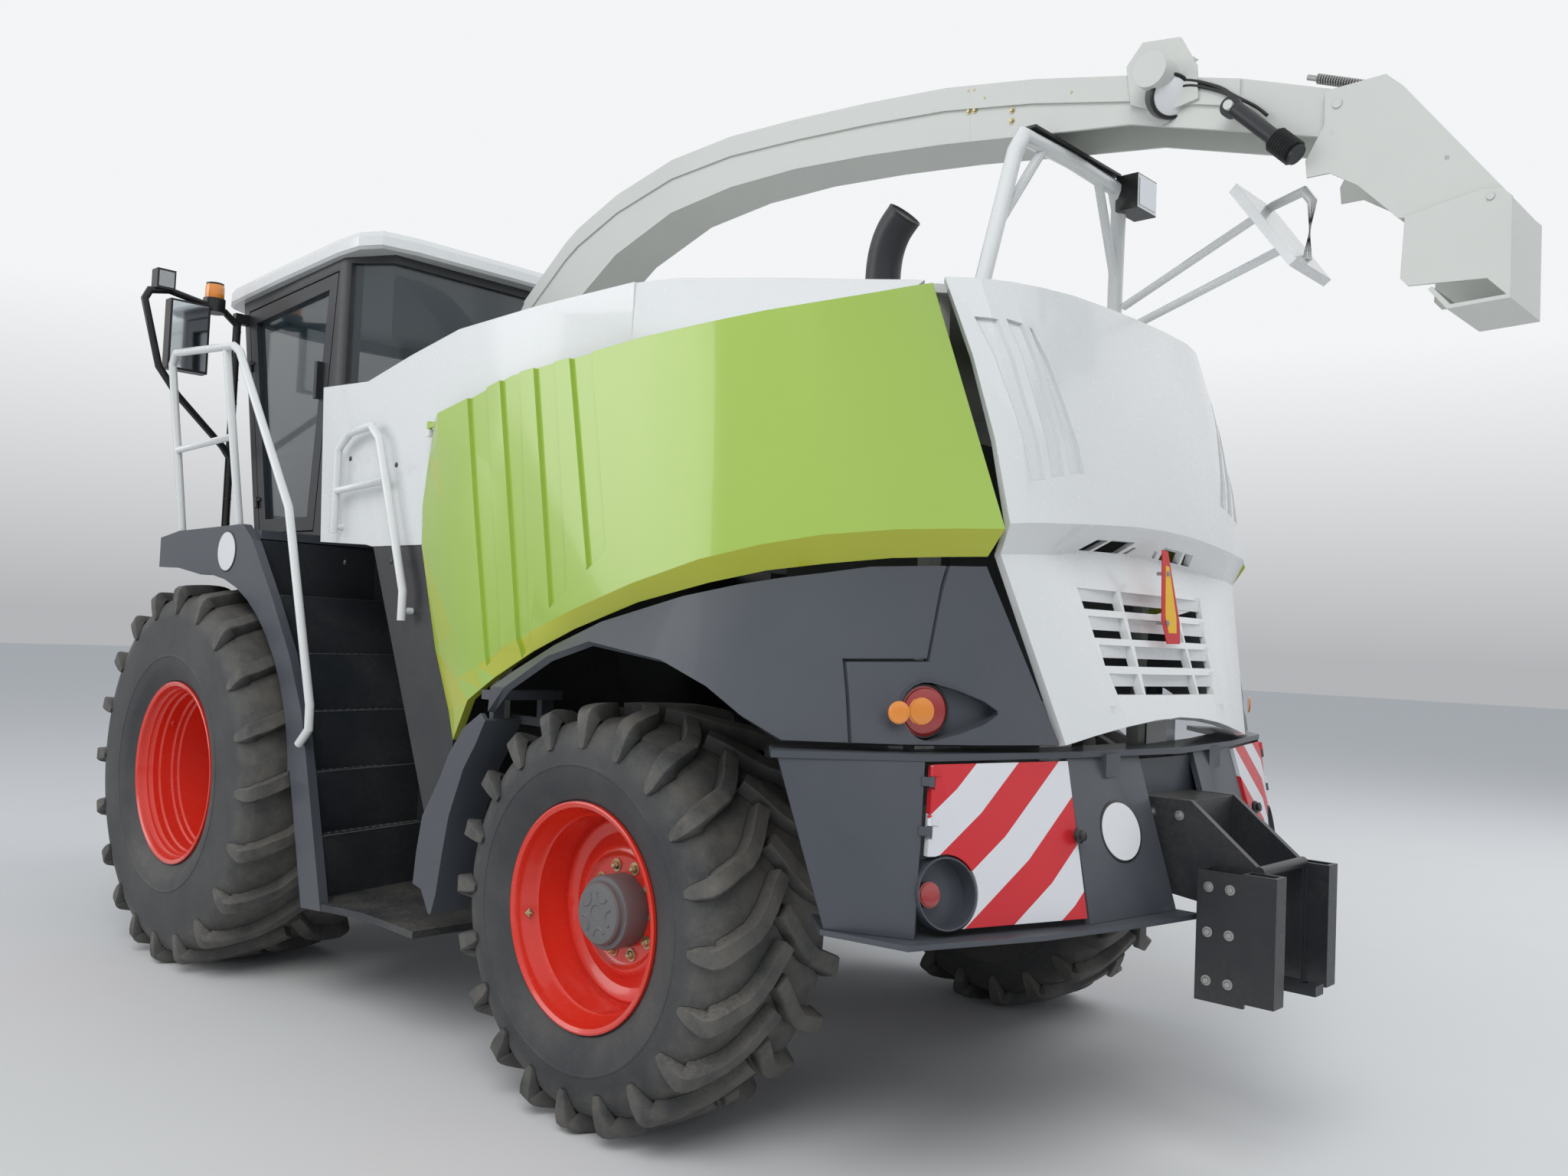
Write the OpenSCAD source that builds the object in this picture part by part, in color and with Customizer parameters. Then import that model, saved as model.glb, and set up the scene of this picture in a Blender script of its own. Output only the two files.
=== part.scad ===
/* [Wheels] */
// Distance between the front and the rear axle
wheelbase = 2900; // [2700:10:3100]
// Radius of a front tyre over its lugs
front_tyre_r = 897; // [880:1:920]
// Width of a front tyre
front_tyre_w = 780; // [700:10:800]
// Distance of a front tyre's middle from the machine's middle
front_track = 1262; // [1240:1:1300]
// Radius of a front rim's flange
front_rim_r = 432; // [400:1:440]
// Radius of a rear tyre over its lugs
rear_tyre_r = 705; // [690:1:720]
// Width of a rear tyre
rear_tyre_w = 590; // [520:10:600]
// Distance of a rear tyre's middle from the machine's middle
rear_track = 1190; // [1180:1:1210]
// Radius of a rear rim's flange
rear_rim_r = 381; // [360:1:390]
// Height of the tread lugs
lug_h = 48; // [40:1:55]
// Lugs on each half of a tread
lug_count = 20; // [16:1:22]
// Distance of a kingpin from the machine's middle
kingpin_x = 960; // [940:1:980]

/* [Cab] */
// Width of the cab
cab_w = 1700; // [1600:10:1720]
// Height of the cab floor above the ground
floor_z = 2070; // [2040:1:2090]
// Height of the roof's lower face over the cab's rear wall
roof_z = 3580; // [3560:1:3600]
// Thickness of the cab's posts and walls
cab_wall = 60; // [50:1:70]
// Place of the cab's rear wall behind the front axle
cab_rear_y = 170; // [140:1:190]
// Place of the front posts at the floor
cab_front_y = -927; // [-940:1:-910]
// Place of the door's rear edge at the floor
door_rear_y = -245; // [-260:1:-230]

/* [Body] */
// Distance of the platform skirts from the machine's middle
skirt_x = 1510; // [1490:1:1530]
// Distance of the white walls from the machine's middle
wall_x = 1350; // [1330:1:1365]
// Thickness of the moulded panels
panel_t = 40; // [30:1:50]
// Height of the top deck
deck_z = 2840; // [2820:1:2860]
// Gap between neighbouring panels
panel_gap = 8; // [6:1:12]

/* [Chute] */
// Place of the turning ring behind the front axle
ring_y = 640; // [620:1:660]
// Radius of the turning ring
ring_r = 280; // [260:1:290]
// Width of the discharge chute
chute_w = 270; // [240:1:280]
// Thickness of the chute's plates
chute_t = 12; // [8:1:16]
// Height of the lifting pivot
lift_z = 3010; // [3000:1:3030]

/* [Intake] */
// Width of the intake housing inside
intake_w = 760; // [700:10:800]
// Place of the intake's mouth in front of the front axle
mouth_y = -1950; // [-2000:10:-1900]
// Radius of a feed roll
roll_r = 150; // [130:1:160]

/* [Hidden] */
$fn = 48;

front_z = front_tyre_r;
rear_z = rear_tyre_r;
front_end = mouth_y;
cab_x = cab_w / 2;
// The body tables are drawn for this wheelbase. What lies between the two places takes up the difference
drawn_wheelbase = 2900;
stretch_y = [1250, 1900];
function aft(y) = y + (wheelbase - drawn_wheelbase) * max(0, min(1,
        (y - stretch_y[0]) / (stretch_y[1] - stretch_y[0])));
function placed(p) = [p[0], aft(p[1]), p[2]];
function plan(points) = [for (p = points) [p[0], aft(p[1])]];
rear_end = aft(5318);
middle_y = (front_end + rear_end) / 2;

// Puts a part drawn about the front axle into the machine's own frame
module in_frame() { translate([0, -middle_y, 0]) children(); }
module both_sides() { children(); mirror([1, 0, 0]) children(); }
// Flat plate whose outline is drawn in Y and Z, from x0 to x1
module side_plate(outline, x0, x1) {
    translate([x0, 0, 0]) rotate([90, 0, 90]) linear_extrude(x1 - x0)
        polygon([for (p = outline) [aft(p[0]), p[1]]]);
}
// Rod along X
module rod_x(r, x0, x1) { translate([x0, 0, 0]) rotate([0, 90, 0]) cylinder(r = r, h = x1 - x0); }
// Block between two corners
module block(a, b) { translate(placed(a)) cube(placed(b) - placed(a)); }
// Outline drawn in X and Z, cut through from y0 to y1
module back_plate(outline, y0, y1) {
    translate([0, aft(y1), 0]) rotate([90, 0, 0]) linear_extrude(aft(y1) - aft(y0)) polygon(outline);
}
// Closed body through level rings, which run anticlockwise from above and upward
module loft(rings) {
    n = len(rings[0]);
    m = len(rings);
    polyhedron([for (ring = rings) each ring],
               concat([[for (i = [0:n-1]) i], [for (i = [n-1:-1:0]) (m-1)*n + i]],
                      [for (k = [0:m-2]) for (i = [0:n-1]) let (j = (i + 1) % n)
                          each [[k*n + i, (k+1)*n + i, (k+1)*n + j], [k*n + i, (k+1)*n + j, k*n + j]]]));
}

function unit(v) = v / norm(v);
// Round bar swept along a path that lies about in one plane, with mitred rings
module bar(way, r, normal = [0, 0, 1], sides = 10) {
    path = [for (p = way) placed(p)];
    n = len(path);
    rings = [for (i = [0:n-1])
        let (seg = unit(i == 0 ? path[1] - path[0] : path[i] - path[i-1]),
             next = unit(i == n-1 ? path[i] - path[i-1] : path[i+1] - path[i]),
             cut = unit(seg + next), a = unit(cross(seg, normal)), b = cross(seg, a))
        [for (s = [0:sides-1])
            let (p = (a * cos(360 * s / sides) + b * sin(360 * s / sides)) * r)
            path[i] + p - seg * ((p * cut) / (seg * cut))]];
    skin = [for (i = [0:n-2]) for (s = [0:sides-1]) let (t = (s + 1) % sides)
        each [[(i+1)*sides + t, i*sides + t, i*sides + s], [(i+1)*sides + s, (i+1)*sides + t,
                i*sides + s]]];
    ends = [[for (s = [0:sides-1]) s], [for (s = [sides-1:-1:0]) (n-1)*sides + s]];
    polyhedron([for (ring = rings) each ring], concat(skin, ends));
}
// Closed shell between an outer and an inner grid of points
module shell(outer, inner) {
    r = len(outer);
    c = len(outer[0]);
    k = r * c;
    quads = [
        for (i = [0:r-2]) for (j = [0:c-2]) [i*c+j, i*c+j+1, (i+1)*c+j+1, (i+1)*c+j],
        for (i = [0:r-2]) for (j = [0:c-2]) [k+(i+1)*c+j, k+(i+1)*c+j+1, k+i*c+j+1, k+i*c+j],
        for (j = [0:c-2]) [j+1, j, k+j, k+j+1],
        for (j = [0:c-2]) [(r-1)*c+j, (r-1)*c+j+1, k+(r-1)*c+j+1, k+(r-1)*c+j],
        for (i = [0:r-2]) [i*c, (i+1)*c, k+(i+1)*c, k+i*c],
        for (i = [0:r-2]) [(i+1)*c+c-1, i*c+c-1, k+i*c+c-1, k+(i+1)*c+c-1]];
    polyhedron([for (row = outer) for (p = row) placed(p), for (row = inner) for (p = row) placed(p)],
               [for (q = quads) each [[q[2], q[1], q[0]], [q[3], q[2], q[0]]]]);
}
// Hinge on a line from a to b, at a share s of it: eye on the fixed side, pin and collar on the moving side
module on_line(a, b, s) {
    u = unit(b - a);
    translate(placed(a + (b - a) * s)) rotate([0, acos(u[2]), atan2(u[1], u[0])]) children();
}
module hinge_eye(r) {
    difference() {
        cylinder(r = r, h = 30);
        translate([0, 0, -1]) cylinder(r = r/2 + 0.05, h = 32);
    }
}
module hinge_pin(r) {
    cylinder(r = r/2, h = 40);
    translate([0, 0, 31]) cylinder(r = r, h = 30);
}
// Body turned about X, whose outline is drawn as radius and place along X
module turned(outline) { rotate([0, 90, 0]) rotate_extrude() polygon(outline); }

// Wheels, drawn about their own middle with the outer side at +X
module tyre(r, w, seat_r, rim_w) {
    // Half of the carcass: place along the axle, radius
    half = [[rim_w/2 - 9, seat_r + 0.3], [rim_w/2 - 1, seat_r + 26.4], [rim_w/2 + 8, seat_r + 55],
            [w/2 - 6, seat_r + 110],
            [w/2, (seat_r + r)/2], [w/2 - 10, r - 150], [w/2 - 45, r - lug_h - 40],
                    [w/2 - 110, r - lug_h - 8],
            [0, r - lug_h]];
    turned([for (p = half) [p[1], p[0]], for (i = [len(half)-2:-1:0]) [half[i][1], -half[i][0]]]);
    pitch = 360 / lug_count;
    intersection() {
        // Outline that the lugs fill
        turned([[r - 160, w/2 - 12], [r - 120, w/2 + 0], [r - 34, w/2 - 6], [r - 8, w/2 - 60], [r, w/4],
                [r, -w/4], [r - 8, -w/2 + 60], [r - 34, -w/2 + 6], [r - 120, -w/2 - 0],
                        [r - 160, -w/2 + 12],
                [r - 190, -w/2 + 60], [r - 190, w/2 - 60]]);
        union() for (i = [0:lug_count-1]) for (side = [1, -1])
            rotate([i * pitch + (side > 0 ? 0 : pitch/2), 0, 0])
                mirror([side > 0 ? 0 : 1, 0, 0])
                    translate([0, 0, r - 165]) linear_extrude(170)
                        polygon([[-18, -26], [-18, 30], [w*0.28, w*0.30 + 34], [w/2 + 5, w*0.38 + 44],
                                 [w/2 + 5, w*0.38 - 26], [w*0.28, w*0.30 - 32]]);
    }
}
module rim(flange_r, rim_w, disc_x, hub_r, dish_r) {
    seat_r = flange_r - 26;
    t = 14;
    // Rim outline: radius, place along the axle
    turned([[seat_r - t, -rim_w/2], [flange_r, -rim_w/2 - 12], [flange_r, -rim_w/2], [seat_r, -rim_w/2 + 8],
            [seat_r, rim_w/2 - 8], [flange_r, rim_w/2], [flange_r, rim_w/2 + 12], [seat_r - t, rim_w/2],
            [seat_r - t - 22, rim_w/2 - 60], [seat_r - t - 22, disc_x + 60], [dish_r, disc_x + 8],
            [hub_r, disc_x + 8], [hub_r, disc_x - 8], [dish_r, disc_x - 8], [seat_r - t - 10, disc_x + 30],
            [seat_r - t - 10, -rim_w/2 + 60]]);
}
front_seat_w = 686;
rear_seat_w = 508;
front_disc_x = 1230 - front_track;
rear_disc_x = 1245 - rear_track;
module front_wheel_place(side) {
    in_frame() translate([side * front_track, 0, front_z]) mirror([side > 0 ? 0 : 1, 0, 0]) children();
}
module rear_wheel_place(side) {
    in_frame() translate([side * rear_track, wheelbase, rear_z]) mirror([side > 0 ? 0 : 1, 0, 0])
        children();
}
module front_rim(side) {
    color("red") front_wheel_place(side) {
        rim(front_rim_r, front_seat_w, front_disc_x, 90, 300);
        // Hub cap
        turned([[0, front_disc_x + 8], [150, front_disc_x + 8], [150, front_disc_x + 60],
                [120, front_disc_x + 90], [0, front_disc_x + 90]]);
    }
}
module rear_rim(side) {
    color("red") rear_wheel_place(side) {
        rim(rear_rim_r, rear_seat_w, rear_disc_x, 90, 265);
        turned([[0, rear_disc_x + 8], [125, rear_disc_x + 8], [125, rear_disc_x + 110],
                [105, rear_disc_x + 130], [0, rear_disc_x + 130]]);
    }
}
module front_tyre(side) { color("dimgray") front_wheel_place(side) tyre(front_tyre_r, front_tyre_w,
        front_rim_r - 26, front_seat_w); }
module rear_tyre(side) { color("dimgray") rear_wheel_place(side) tyre(rear_tyre_r, rear_tyre_w,
        rear_rim_r - 26, rear_seat_w); }

// Running gear
rail_x = 330;
rail_w = 90;
rail_z = 1080;
rail_h = 200;
module chassis_frame() {
    color("slategray") in_frame() {
        both_sides() block([rail_x, -640, rail_z], [rail_x + rail_w, 4149.7, rail_z + rail_h]);
    }
}
// Beams between the rails and outriggers beside them
module cross_members() {
    color("slategray") in_frame() {
        for (y = [700, 1800, 2500, 3600]) block([-rail_x, y, rail_z + 30],
                [rail_x, y + 120, rail_z + rail_h - 30]);
        // Outriggers under the body: place, reach
        for (o = [[2040, 1260], [3700, 900]]) both_sides()
            block([rail_x + rail_w, o[0], rail_z + rail_h - 100], [o[1], o[0] + 80, rail_z + rail_h]);
    }
}
module cab_bearers() {
    color("slategray") in_frame() for (y = [-700, 60]) both_sides() {
        block([rail_x, y, rail_z + rail_h + 0.3], [cab_x - 60, y + 90, rail_z + rail_h + 90]);
        block([cab_x - 140, y, rail_z + rail_h + 90], [cab_x - 60, y + 90, floor_z - 60.3]);
    }
}
module front_axle() {
    color("slategray") in_frame() {
        translate([0, 0, front_z]) {
            rod_x(150, -700, 700);
            both_sides() rod_x(200, 640, 1262 + front_disc_x - 8.3);
            block([-260, -220, -230], [260, 260, 150]);
            both_sides() block([rail_x, -110, 60], [rail_x + rail_w, 110, rail_z - front_z - 0.3]);
        }
    }
}
axle_h = 200;
pin_r = 42;
module rear_axle() {
    color("slategray") in_frame() translate([0, wheelbase, rear_z]) difference() {
        union() {
            block([-kingpin_x, -110, -axle_h/2], [kingpin_x, 110, axle_h/2]);
            both_sides() translate([kingpin_x, 0, -axle_h/2]) cylinder(r = 110, h = axle_h);
            block([-rail_x - rail_w, -150, axle_h/2], [rail_x + rail_w, 150, rail_z - rear_z - 0.3]);
        }
        both_sides() translate([kingpin_x, 0, -axle_h/2 - 1]) cylinder(r = pin_r + 0.1, h = axle_h + 2);
    }
}
module knuckle(side) {
    color("slategray") in_frame() translate([0, wheelbase, rear_z]) mirror([side > 0 ? 0 : 1, 0, 0]) {
        translate([kingpin_x, 0, -axle_h/2 - 40]) cylinder(r = pin_r, h = axle_h + 80);
        for (z = [-axle_h/2 - 50, axle_h/2 + 2]) {
            translate([kingpin_x, 0, z]) cylinder(r = 90, h = 48);
            block([kingpin_x, -90, z], [kingpin_x + 170, 90, z + 48]);
        }
        rod_x(148, kingpin_x + 125, rear_track + rear_disc_x - 8.3);
    }
}
module engine_block() {
    color("dimgray") in_frame() {
        block([-640, 3020, 1440], [640, 3760, 2350]);
        both_sides() block([rail_x, 3100, rail_z + rail_h + 0.3], [rail_x + rail_w, 3680, 1440]);
    }
}

// Intake with its feed rolls
wall_t = 30;
roll_y = mouth_y + 260;
roll_z = [620, 960];
module intake_housing() {
    color("dimgray") in_frame() difference() {
        union() {
            block([-intake_w/2 - wall_t, mouth_y, 400], [intake_w/2 + wall_t, -660, 1180]);
            // Neck back to the frame
            block([-rail_x - rail_w, -900, 700], [rail_x + rail_w, -230, rail_z - 0.3]);
            // Coupling frame round the mouth
            block([-intake_w/2 - 150, mouth_y, 380], [intake_w/2 + 150, mouth_y + 60, 460]);
            both_sides() block([intake_w/2 + wall_t, mouth_y, 380], [intake_w/2 + 150, mouth_y + 60, 1180]);
        }
        block([-intake_w/2, mouth_y - 1, 430], [intake_w/2, -950, 1150]);
        for (z = roll_z) translate([0, roll_y, z]) rod_x(30.1, -intake_w/2 - wall_t - 1,
                intake_w/2 + wall_t + 1);
    }
}
module feed_roll(z) {
    color("gray") in_frame() translate([0, roll_y, z]) {
        rod_x(roll_r - 22, -intake_w/2 + 6, intake_w/2 - 6);
        rod_x(30, -intake_w/2 - wall_t, intake_w/2 + wall_t);
        for (i = [0:7]) rotate([i * 45, 0, 0]) block([-intake_w/2 + 10, -9, roll_r - 40],
                [intake_w/2 - 10, 9, roll_r]);
    }
}

// Discharge chute
pivot_y = ring_y - 220;
module chute_base() {
    color("darkgray") in_frame() translate([0, ring_y, 0]) difference() {
        union() {
            translate([0, 0, 2500]) cylinder(r = ring_r - 20, h = deck_z + 18 - 2500);
            translate([0, 0, deck_z]) cylinder(r = ring_r + 30, h = 18);
            translate([0, 0, 2500]) block([-360, -300, -40.3], [360, 700, 0]);
        }
        translate([0, 0, 2400]) cylinder(r = ring_r - 40, h = 700);
    }
}
module crop_channel() {
    color("dimgray") in_frame()
        side_plate([[-640, rail_z], [-640, 1180], [-229, 1180], [330, 1700], [380, 2459], [960, 2459],
                    [960, 1700],
                    [560, rail_z]], -300, 300);
}
turn_z = deck_z + 18.3;
module chute_turntable() {
    color("silver") in_frame() {
        translate([0, ring_y, turn_z]) difference() {
            cylinder(r = ring_r, h = 70);
            translate([0, 0, -1]) cylinder(r = ring_r - 60, h = 80);
        }
        both_sides() difference() {
            side_plate([[pivot_y - 60, turn_z + 60], [pivot_y + 170, turn_z + 60],
                        [pivot_y + 60, lift_z + 70], [pivot_y - 60, lift_z + 70]],
                       chute_w/2 + 6, chute_w/2 + 26);
            translate([0, pivot_y, lift_z]) rod_x(25.1, chute_w/2, chute_w/2 + 40);
        }
    }
}
// Side view of the chute: place behind the axle, height of the top, height of the underside
chute_sections = [[380, 3060, 3000], [440, 3255, 2985], [560, 3400, 2975], [900, 3655, 2970],
                  [1000, 3712, 3330], [1300, 3825, 3521], [1700, 3912, 3655], [2100, 3932, 3695],
                          [2500, 3912, 3692],
                  [2900, 3882, 3660], [3300, 3840, 3615], [3700, 3768, 3556], [4100, 3674, 3500],
                          [4500, 3556, 3380],
                  [4790, 3446, 3290]];
open_from = 4020;
seam_y = 3420;
end_y = 4820;
end_z = 3385;
flap_y = 5262;
flap_z = 2999;
// Eye of the small cylinder
rod_y = 4496;
rod_z = 3440;
// Whole length of the chute's duct with its flanged top band
module chute_duct() {
    n = len(chute_sections);
    top = [for (s = chute_sections) [s[0], s[1]]];
    low = [for (i = [n-1:-1:0]) [chute_sections[i][0], chute_sections[i][2]]];
    difference() {
        side_plate(concat(top, low), -chute_w/2, chute_w/2);
        // Duct, open below towards the tip
        side_plate(concat([for (i = [1:n-1])
                               [chute_sections[i][0] + (i == n-1 ? 20 : 0), chute_sections[i][1] - 20]],
                          [[4830, 3100], [open_from, 3200]],
                          [for (i = [n-4:-1:4]) [chute_sections[i][0] - 12,
                                  chute_sections[i][2] + chute_t]],
                          [[880, 2990], [460, 3000]]), -chute_w/2 + chute_t, chute_w/2 - chute_t);
        // Mouth over the turning ring
        side_plate([[440, 2900], [440, 3080], [880, 3080], [880, 2900]], -chute_w/2 + chute_t,
                   chute_w/2 - chute_t);
    }
    // Flanged top band
    difference() {
        side_plate(concat([for (i = [2:n-2]) [chute_sections[i][0], chute_sections[i][1] - 95]],
                          [for (i = [n-2:-1:2]) [chute_sections[i][0], chute_sections[i][1] - 4]]),
                   -chute_w/2 - 9, chute_w/2 + 9);
        side_plate(concat([for (i = [2:n-2]) [chute_sections[i][0] - (i == 2 ? 20 : 0),
                chute_sections[i][1] - 135]],
                          [for (i = [n-2:-1:2])
                               [chute_sections[i][0] + (i == n-2 ? 20 : 0), chute_sections[i][1] + 60]]),
                   -chute_w/2 + 1, chute_w/2 - 1);
    }
}
// First length of the chute, from the turning ring to the bolted seam
module chute_boom() {
    color("gainsboro") in_frame() {
        intersection() {
            chute_duct();
            block([-chute_w, 300, 2900], [chute_w, seam_y, 4100]);
        }
        // Lifting pin
        translate([0, pivot_y, lift_z]) rod_x(25, -chute_w/2 - 26, chute_w/2 + 26);
    }
}
// Second length of the chute, from the seam to the end piece
module chute_extension() {
    color("gainsboro") in_frame() {
        intersection() {
            chute_duct();
            block([-chute_w, seam_y, 2900], [chute_w, 5000, 4100]);
        }
        // Lamp plate and lamp on the left side
        side_plate([[4110, 3560], [4090, 3700], [4150, 3770], [4290, 3750], [4350, 3640], [4360, 3520],
                    [4230, 3500]],
                   chute_w/2 + 9, chute_w/2 + 19);
        translate([0, aft(4230), 3620]) rod_x(62, chute_w/2 + 19, chute_w/2 + 120);
        // Pin of the flap cylinder
        translate([0, aft(rod_y), rod_z]) rod_x(16, chute_w/2, chute_w/2 + 90);
        // Ears and pins that carry the end piece
        both_sides() {
            side_plate([[4740, 3440], [4790, 3446], [4850, 3420], [4856, 3360], [4790, 3310], [4740, 3310]],
                       chute_w/2 - chute_t, chute_w/2);
            translate([0, aft(end_y), end_z]) rod_x(14.9, chute_w/2 - chute_t, chute_w/2 + 22);
        }
    }
}
module chute_end() {
    color("gainsboro") in_frame() {
        both_sides() difference() {
            side_plate([[end_y - 40, end_z - 60], [end_y - 40, end_z + 50], [4963, 3440], [5014, 3390],
                        [5300, 3010], [5240, 2960],
                        [5008, 2987], [4887, 3113], [4800, 3170], [4730, 3170], [4725, 3225]],
                       chute_w/2 + 10, chute_w/2 + 18);
            translate([0, aft(end_y), end_z]) rod_x(15, chute_w/2, chute_w/2 + 40);
        }
        both_sides() translate([0, aft(flap_y), flap_z]) rod_x(10.9, chute_w/2 + 10, chute_w/2 + 34);
        // Outer plate
        side_plate([[4963, 3440], [5014, 3390], [5300, 3010], [5288, 3000], [5006, 3372], [4958, 3424]],
                   -chute_w/2 - 18, chute_w/2 + 18);
    }
}
module chute_flap() {
    color("gainsboro") in_frame() {
        both_sides() difference() {
            side_plate([[5290, 3020], [5235, 3025], [5030, 2985], [5021, 2800], [5043, 2774],
                        [5257, 2763], [5318, 2698], [5318, 2990]],
                       chute_w/2 + 22, chute_w/2 + 30);
            translate([0, aft(flap_y), flap_z]) rod_x(11, chute_w/2, chute_w/2 + 40);
        }
        side_plate([[5310, 2985], [5318, 2985], [5318, 2698], [5310, 2706]], -chute_w/2 - 30,
                   chute_w/2 + 30);
        side_plate([[5099, 2756], [5152, 2689], [5318, 2698], [5312, 2710], [5160, 2702], [5110, 2762]],
                   -chute_w/2 - 30, chute_w/2 + 30);
    }
}
module chute_cylinder() {
    color("dimgray") in_frame() translate([chute_w/2 + 60, 0, 0]) difference() {
        union() {
            bar([[0, rod_y + 14, rod_z - 8], [0, 4640, 3305]], 26, [1, 0, 0], 16);
            bar([[0, 4640, 3305], [0, 4715, 3232]], 34, [1, 0, 0], 16);
            translate([0, aft(rod_y), rod_z]) rod_x(34, -14, 14);
        }
        translate([0, aft(rod_y), rod_z]) rod_x(16.1, -40, 40);
    }
}

// Cab. Its front posts lean forward, the roof falls towards the front and the rear corners are chamfered
bow_n = 8;
bow_depth = 300;
lean = 0.22;
roof_fall = 0.063;
corner_y = -60;
corner_w = 160;
post_w = 60;
function front_at(z) = cab_front_y - lean * (z - floor_z);
function roof_at(y) = roof_z + roof_fall * (y - cab_rear_y);
// Plan of the cab at a height, moved in by off
function cab_ring(off, z) = let (f = front_at(z), x = cab_x - off, in = cab_x - corner_w - 0.523*off)
    concat(
    [[x, f, z], [x, corner_y - 0.314*off, z], [in, cab_rear_y - off, z], [-in, cab_rear_y - off, z],
     [-x, corner_y - 0.314*off, z], [-x, f, z]],
    [for (i = [1:bow_n-1]) let (w = 180 - 180 * i / bow_n) [x * cos(w), f - (bow_depth - off) * sin(w),
            z]]);
// What lies above the roof's lower face
module over_roof(gap) {
    side_plate([[-2200, roof_at(-2200) - gap], [600, roof_at(600) - gap], [600, 4200], [-2200, 4200]],
               -1100, 1100);
}
door_low = floor_z + 55;
door_header = 65;
sill_z = floor_z + 830;
// Door outline, moved in by off on all sides
function door_outline(off) = let (low = door_low + off, rear = door_rear_y - 8 - off,
                                  front = post_w + 8 + off,
        high_rear = roof_at(rear + 135) - door_header - off, high_front = roof_at(front_at(roof_z))
            - door_header - off)
    [[front_at(low) + front, low], [rear, low], [rear + 0.095 * (high_rear - low), high_rear],
     [front_at(high_front) + front, high_front]];
module cab_window_blocks() {
    // Windscreen between the front posts
    low = floor_z + 180;
    high = roof_at(front_at(roof_z) - bow_depth) - 60;
    side_plate([[-2200, low], [front_at(low) - 10, low], [front_at(high) - 10, high], [-2200, high]],
               -cab_x + 75, cab_x - 75);
    // Rear window round both corners, and the right hand window
    block([-cab_x - 1, corner_y + 30, sill_z], [cab_x + 1, cab_rear_y + 1, roof_z - 45]);
    side_plate(door_outline(75), -cab_x - 10, -cab_x + 140);
}
module cab_floor() {
    color("dimgray") in_frame() loft([cab_ring(0, floor_z - 60), cab_ring(0, floor_z - 0.3)]);
}
// Hinge line of the door, from the lower to the upper end
function door_line(z) = [cab_x + 10, front_at(z) + post_w + 4, z];
door_hinges = [floor_z + 200, floor_z + 1000];
module cab_body() {
    color("dimgray") in_frame() {
        difference() {
            loft([cab_ring(0, floor_z), cab_ring(0, roof_z + 100)]);
            loft([cab_ring(cab_wall, floor_z - 1), cab_ring(cab_wall, roof_z + 101)]);
            over_roof(0.3);
            cab_window_blocks();
            // Door opening
            side_plate(door_outline(-8), cab_x - 120, cab_x + 10);
        }
        for (z = door_hinges) {
            on_line(door_line(z), door_line(z + 100), 0) hinge_eye(10);
            block([cab_x - 20, front_at(z) + 20, z + 4], [cab_x + 4, front_at(z) + post_w - 8, z + 24]);
            block([cab_x, front_at(z) + 30, z + 4], [cab_x + 14, front_at(z) + post_w - 7, z + 24]);
        }
    }
}
module cab_glass() {
    color("lightskyblue", 0.4) in_frame() intersection() {
        difference() {
            loft([cab_ring(20, floor_z), cab_ring(20, roof_z + 100)]);
            loft([cab_ring(28, floor_z - 1), cab_ring(28, roof_z + 101)]);
            over_roof(5);
        }
        cab_window_blocks();
    }
}
// Half of the roof's plan from the rear middle round to the front middle
roof_half = [[0, 262], [600, 255], [800, 225], [875, 120], [898, -60], [905, -700], [900, -1300],
             [860, -1400], [700, -1490],
             [400, -1560], [0, -1585]];
roof_middle_y = -660;
// Levels of the roof: drawn in towards the middle, height over the lower face
roof_levels = [[14, 0], [0, 14], [0, 62], [16, 92], [70, 108], [220, 122], [480, 130]];
function roof_ring(level) = let (k = 1 - level[0] / 900, n = len(roof_half),
        half = [for (p = roof_half) [p[0] * k, roof_middle_y + (p[1] - roof_middle_y) * k]],
        whole = concat([for (i = [n-1:-1:0]) half[i]], [for (i = [1:n-2]) [-half[i][0], half[i][1]]]))
    [for (p = whole) [p[0], p[1], roof_at(p[1]) + level[1]]];
module cab_roof() {
    color("whitesmoke") in_frame() loft([for (level = roof_levels) roof_ring(level)]);
}
module cab_door() {
    color("dimgray") in_frame() {
        difference() {
            union() {
                side_plate(door_outline(0), cab_x - 50, cab_x);
                // Handle
                block([cab_x, door_rear_y - 30, floor_z + 760], [cab_x + 30, door_rear_y, floor_z + 960]);
            }
            side_plate(door_outline(75), cab_x - 60, cab_x + 10);
            for (z = door_hinges) on_line(door_line(z), door_line(z + 100), -0.05) cylinder(r = 13, h = 38);
        }
        for (z = door_hinges) {
            on_line(door_line(z), door_line(z + 100), 0) hinge_pin(10);
            block([cab_x - 20, front_at(z + 45) + post_w + 5, z + 38],
                  [cab_x + 10, front_at(z + 45) + post_w + 40, z + 54]);
        }
    }
}
module door_glass() {
    color("lightskyblue", 0.4) in_frame() side_plate(door_outline(75), cab_x - 30, cab_x - 24);
}
module driver_seat() {
    color("black") in_frame() {
        block([-140, -560, floor_z], [140, -260, floor_z + 330]);
        block([-260, -680, floor_z + 330], [260, -180, floor_z + 450]);
        side_plate([[-240, floor_z + 450], [-130, floor_z + 450], [-60, floor_z + 1130],
                    [-170, floor_z + 1130]], -240, 240);
        both_sides() block([260, -600, floor_z + 400], [340, -240, floor_z + 640]);
    }
}
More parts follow.
